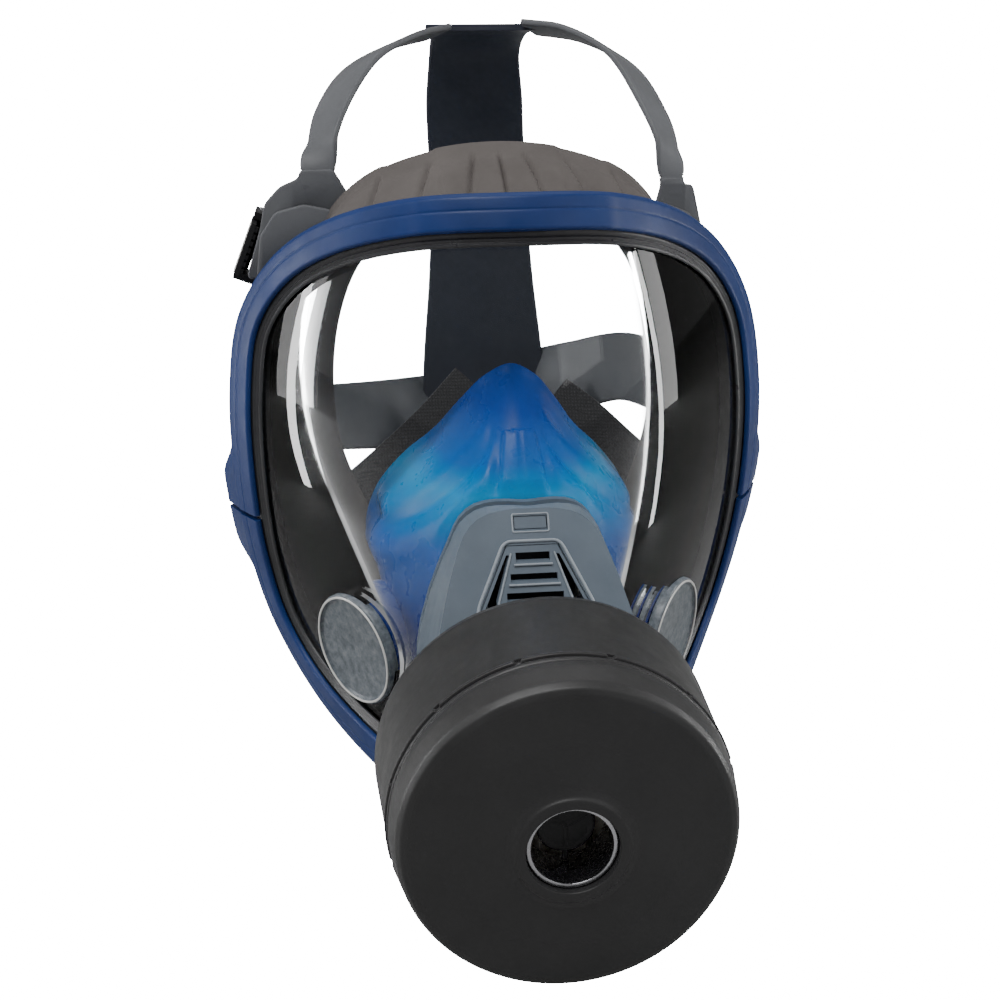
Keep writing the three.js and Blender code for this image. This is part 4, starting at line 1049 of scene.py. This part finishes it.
# ---------------------------------------------------------------- CAD pieces that keep their shape
CARRIED = {
    "housing_cover": "cover", "valve_housing": "cover", "cover_latch": "cover", "exhalation_grille": "cover",
    "exhalation_valve_seat": "white", "exhalation_valve_disc": "valve", "port_thread_ring": "black",
    "port_gasket": "gasket", "inhalation_valve_seat": "white", "inhalation_valve_disc": "valve",
    "canister_neck": "black", "particulate_filter": "paper", "sorbent_screen_front": "screen",
    "sorbent_bed": "charcoal", "sorbent_screen_rear": "screen", "ring_screw_left": "steel",
    "ring_screw_right": "steel", "ring_nut_left": "steel", "ring_nut_right": "steel",
    "check_valve_seat_left": "white", "check_valve_seat_right": "white", "check_valve_disc_left": "valve",
    "check_valve_disc_right": "valve",
    **{f"{name}_{part}": "steel" if part == "pin" else "black"
       for name in BUCKLES for part in ("frame", "pin", "lever")},
}
BEVELS = {"housing_cover": 0.8, "cover_latch": 0.4, "exhalation_grille": 0.35, "valve_housing": 0.25}


def soften(obj, width):
    """Merged flat faces, small bevels and shading by angle on a CAD node, all as modifiers."""
    flat = obj.modifiers.new("flat faces", "DECIMATE")
    flat.decimate_type = "DISSOLVE"
    flat.angle_limit = math.radians(0.6)
    bevel = obj.modifiers.new("soft edges", "BEVEL")
    bevel.width = width * MM
    bevel.segments = 2
    bevel.limit_method = "ANGLE"
    bevel.angle_limit = math.radians(32)
    bevel.harden_normals = False
    normals = obj.modifiers.new("shading", "WEIGHTED_NORMAL")
    normals.keep_sharp = True


def dress_cad_nodes():
    for name, material in CARRIED.items():
        obj = frame["nodes"][name]
        obj.data.materials.clear()
        obj.data.materials.append(MATERIALS[material])
        for polygon in obj.data.polygons:
            polygon.material_index = 0
            polygon.use_smooth = True
        soften(obj, BEVELS.get(name, 0.2))


# ---------------------------------------------------------------- studio
FLOOR_GAP = 0.004                # metres from the object's lowest point down to the floor
FLOOR_GLOW = 25.0                # the floor's own light, seen by the camera only
WORLD_LIGHT = 0.24
CAMERA_PLACE = (-0.0953, -0.7587, 0.189)
CAMERA_TURN = (-7.2, 16.7, -0.43)        # azimuth, elevation and roll, in degrees


def build_studio():
    floor_z = CAD_BOX[0][2] - FLOOR_GAP
    bpy.ops.mesh.primitive_plane_add(size=30, location=(0, 0, floor_z))
    floor = bpy.context.object
    floor.name = "studio_floor"
    n = Nodes("studio floor")
    n.put("Base Color", n.ramp(n.noise(3), [(0.3, (0.34, 0.34, 0.34)), (0.7, (0.37, 0.37, 0.37))]))
    n.put("Roughness", 0.9)
    glow = n.new("ShaderNodeEmission")
    glow.inputs["Strength"].default_value = FLOOR_GLOW
    seen = n.new("ShaderNodeMixShader")
    n.link(n.new("ShaderNodeLightPath").outputs["Is Camera Ray"], seen.inputs[0])
    n.link(n.bsdf.outputs[0], seen.inputs[1])
    n.link(glow.outputs[0], seen.inputs[2])
    n.link(seen.outputs[0], n.tree.nodes["Material Output"].inputs["Surface"])
    floor.data.materials.append(n.material)
    world = bpy.data.worlds.new("studio")
    world.use_nodes = True
    world.node_tree.nodes["Background"].inputs["Color"].default_value = (1, 1, 1, 1)
    world.node_tree.nodes["Background"].inputs["Strength"].default_value = WORLD_LIGHT
    bpy.context.scene.world = world
    softboxes = [
        ("key", (-0.5, -0.75, 1.9), (1.5, 1.2), 42),
        ("fill", (1.3, -1.2, 0.8), (1.0, 1.2), 5),
        ("strip_left", (-1.35, 0.25, 0.35), (0.22, 1.5), 6),
        ("strip_right", (1.35, 0.1, 0.35), (0.18, 1.5), 6),
        ("glint_left", (-0.45, 0.06, 0.0), (0.018, 0.3), 0.6),
        ("glint_right", (0.46, -0.04, 0.0), (0.018, 0.3), 0.5),
        ("back", (0.2, 1.2, 1.9), (1.6, 0.8), 5),
    ]
    for name, place, size, power in softboxes:
        data = bpy.data.lights.new(name, "AREA")
        data.shape = "RECTANGLE"
        data.size, data.size_y = size
        data.energy = power
        light = bpy.data.objects.new(name, data)
        light.location = place
        light.rotation_euler = (Vector((0, 0, 0)) - Vector(place)).to_track_quat("-Z", "Y").to_euler()
        bpy.context.scene.collection.objects.link(light)


def build_camera():
    data = bpy.data.cameras.new("camera")
    data.lens = 80
    data.sensor_width = 36
    data.clip_start = 0.01
    camera = bpy.data.objects.new("camera", data)
    bpy.context.scene.collection.objects.link(camera)
    azimuth, elevation, roll = (math.radians(a) for a in CAMERA_TURN)
    forward = Vector((-math.sin(azimuth) * math.cos(elevation), math.cos(azimuth) * math.cos(elevation),
                      -math.sin(elevation)))
    right = Vector((math.cos(azimuth), math.sin(azimuth), 0))
    up = right.cross(forward)
    right, up = right * math.cos(roll) + up * math.sin(roll), up * math.cos(roll) - right * math.sin(roll)
    turn = Matrix((right, up, -forward)).transposed()
    camera.matrix_world = Matrix.Translation(CAMERA_PLACE) @ turn.to_4x4()
    bpy.context.scene.camera = camera


# ---------------------------------------------------------------- assembly
build_camera()
build_studio()
dress_cad_nodes()
build_lens()
build_gasket()
build_ring()
build_skirt()
build_nose_cup()
for port_name, port_side in (("left", -1), ("right", 1)):
    build_side_port(port_name, port_side)
build_cover_rims()
build_canister()
build_tabs()
build_straps()
build_buckle_studs()
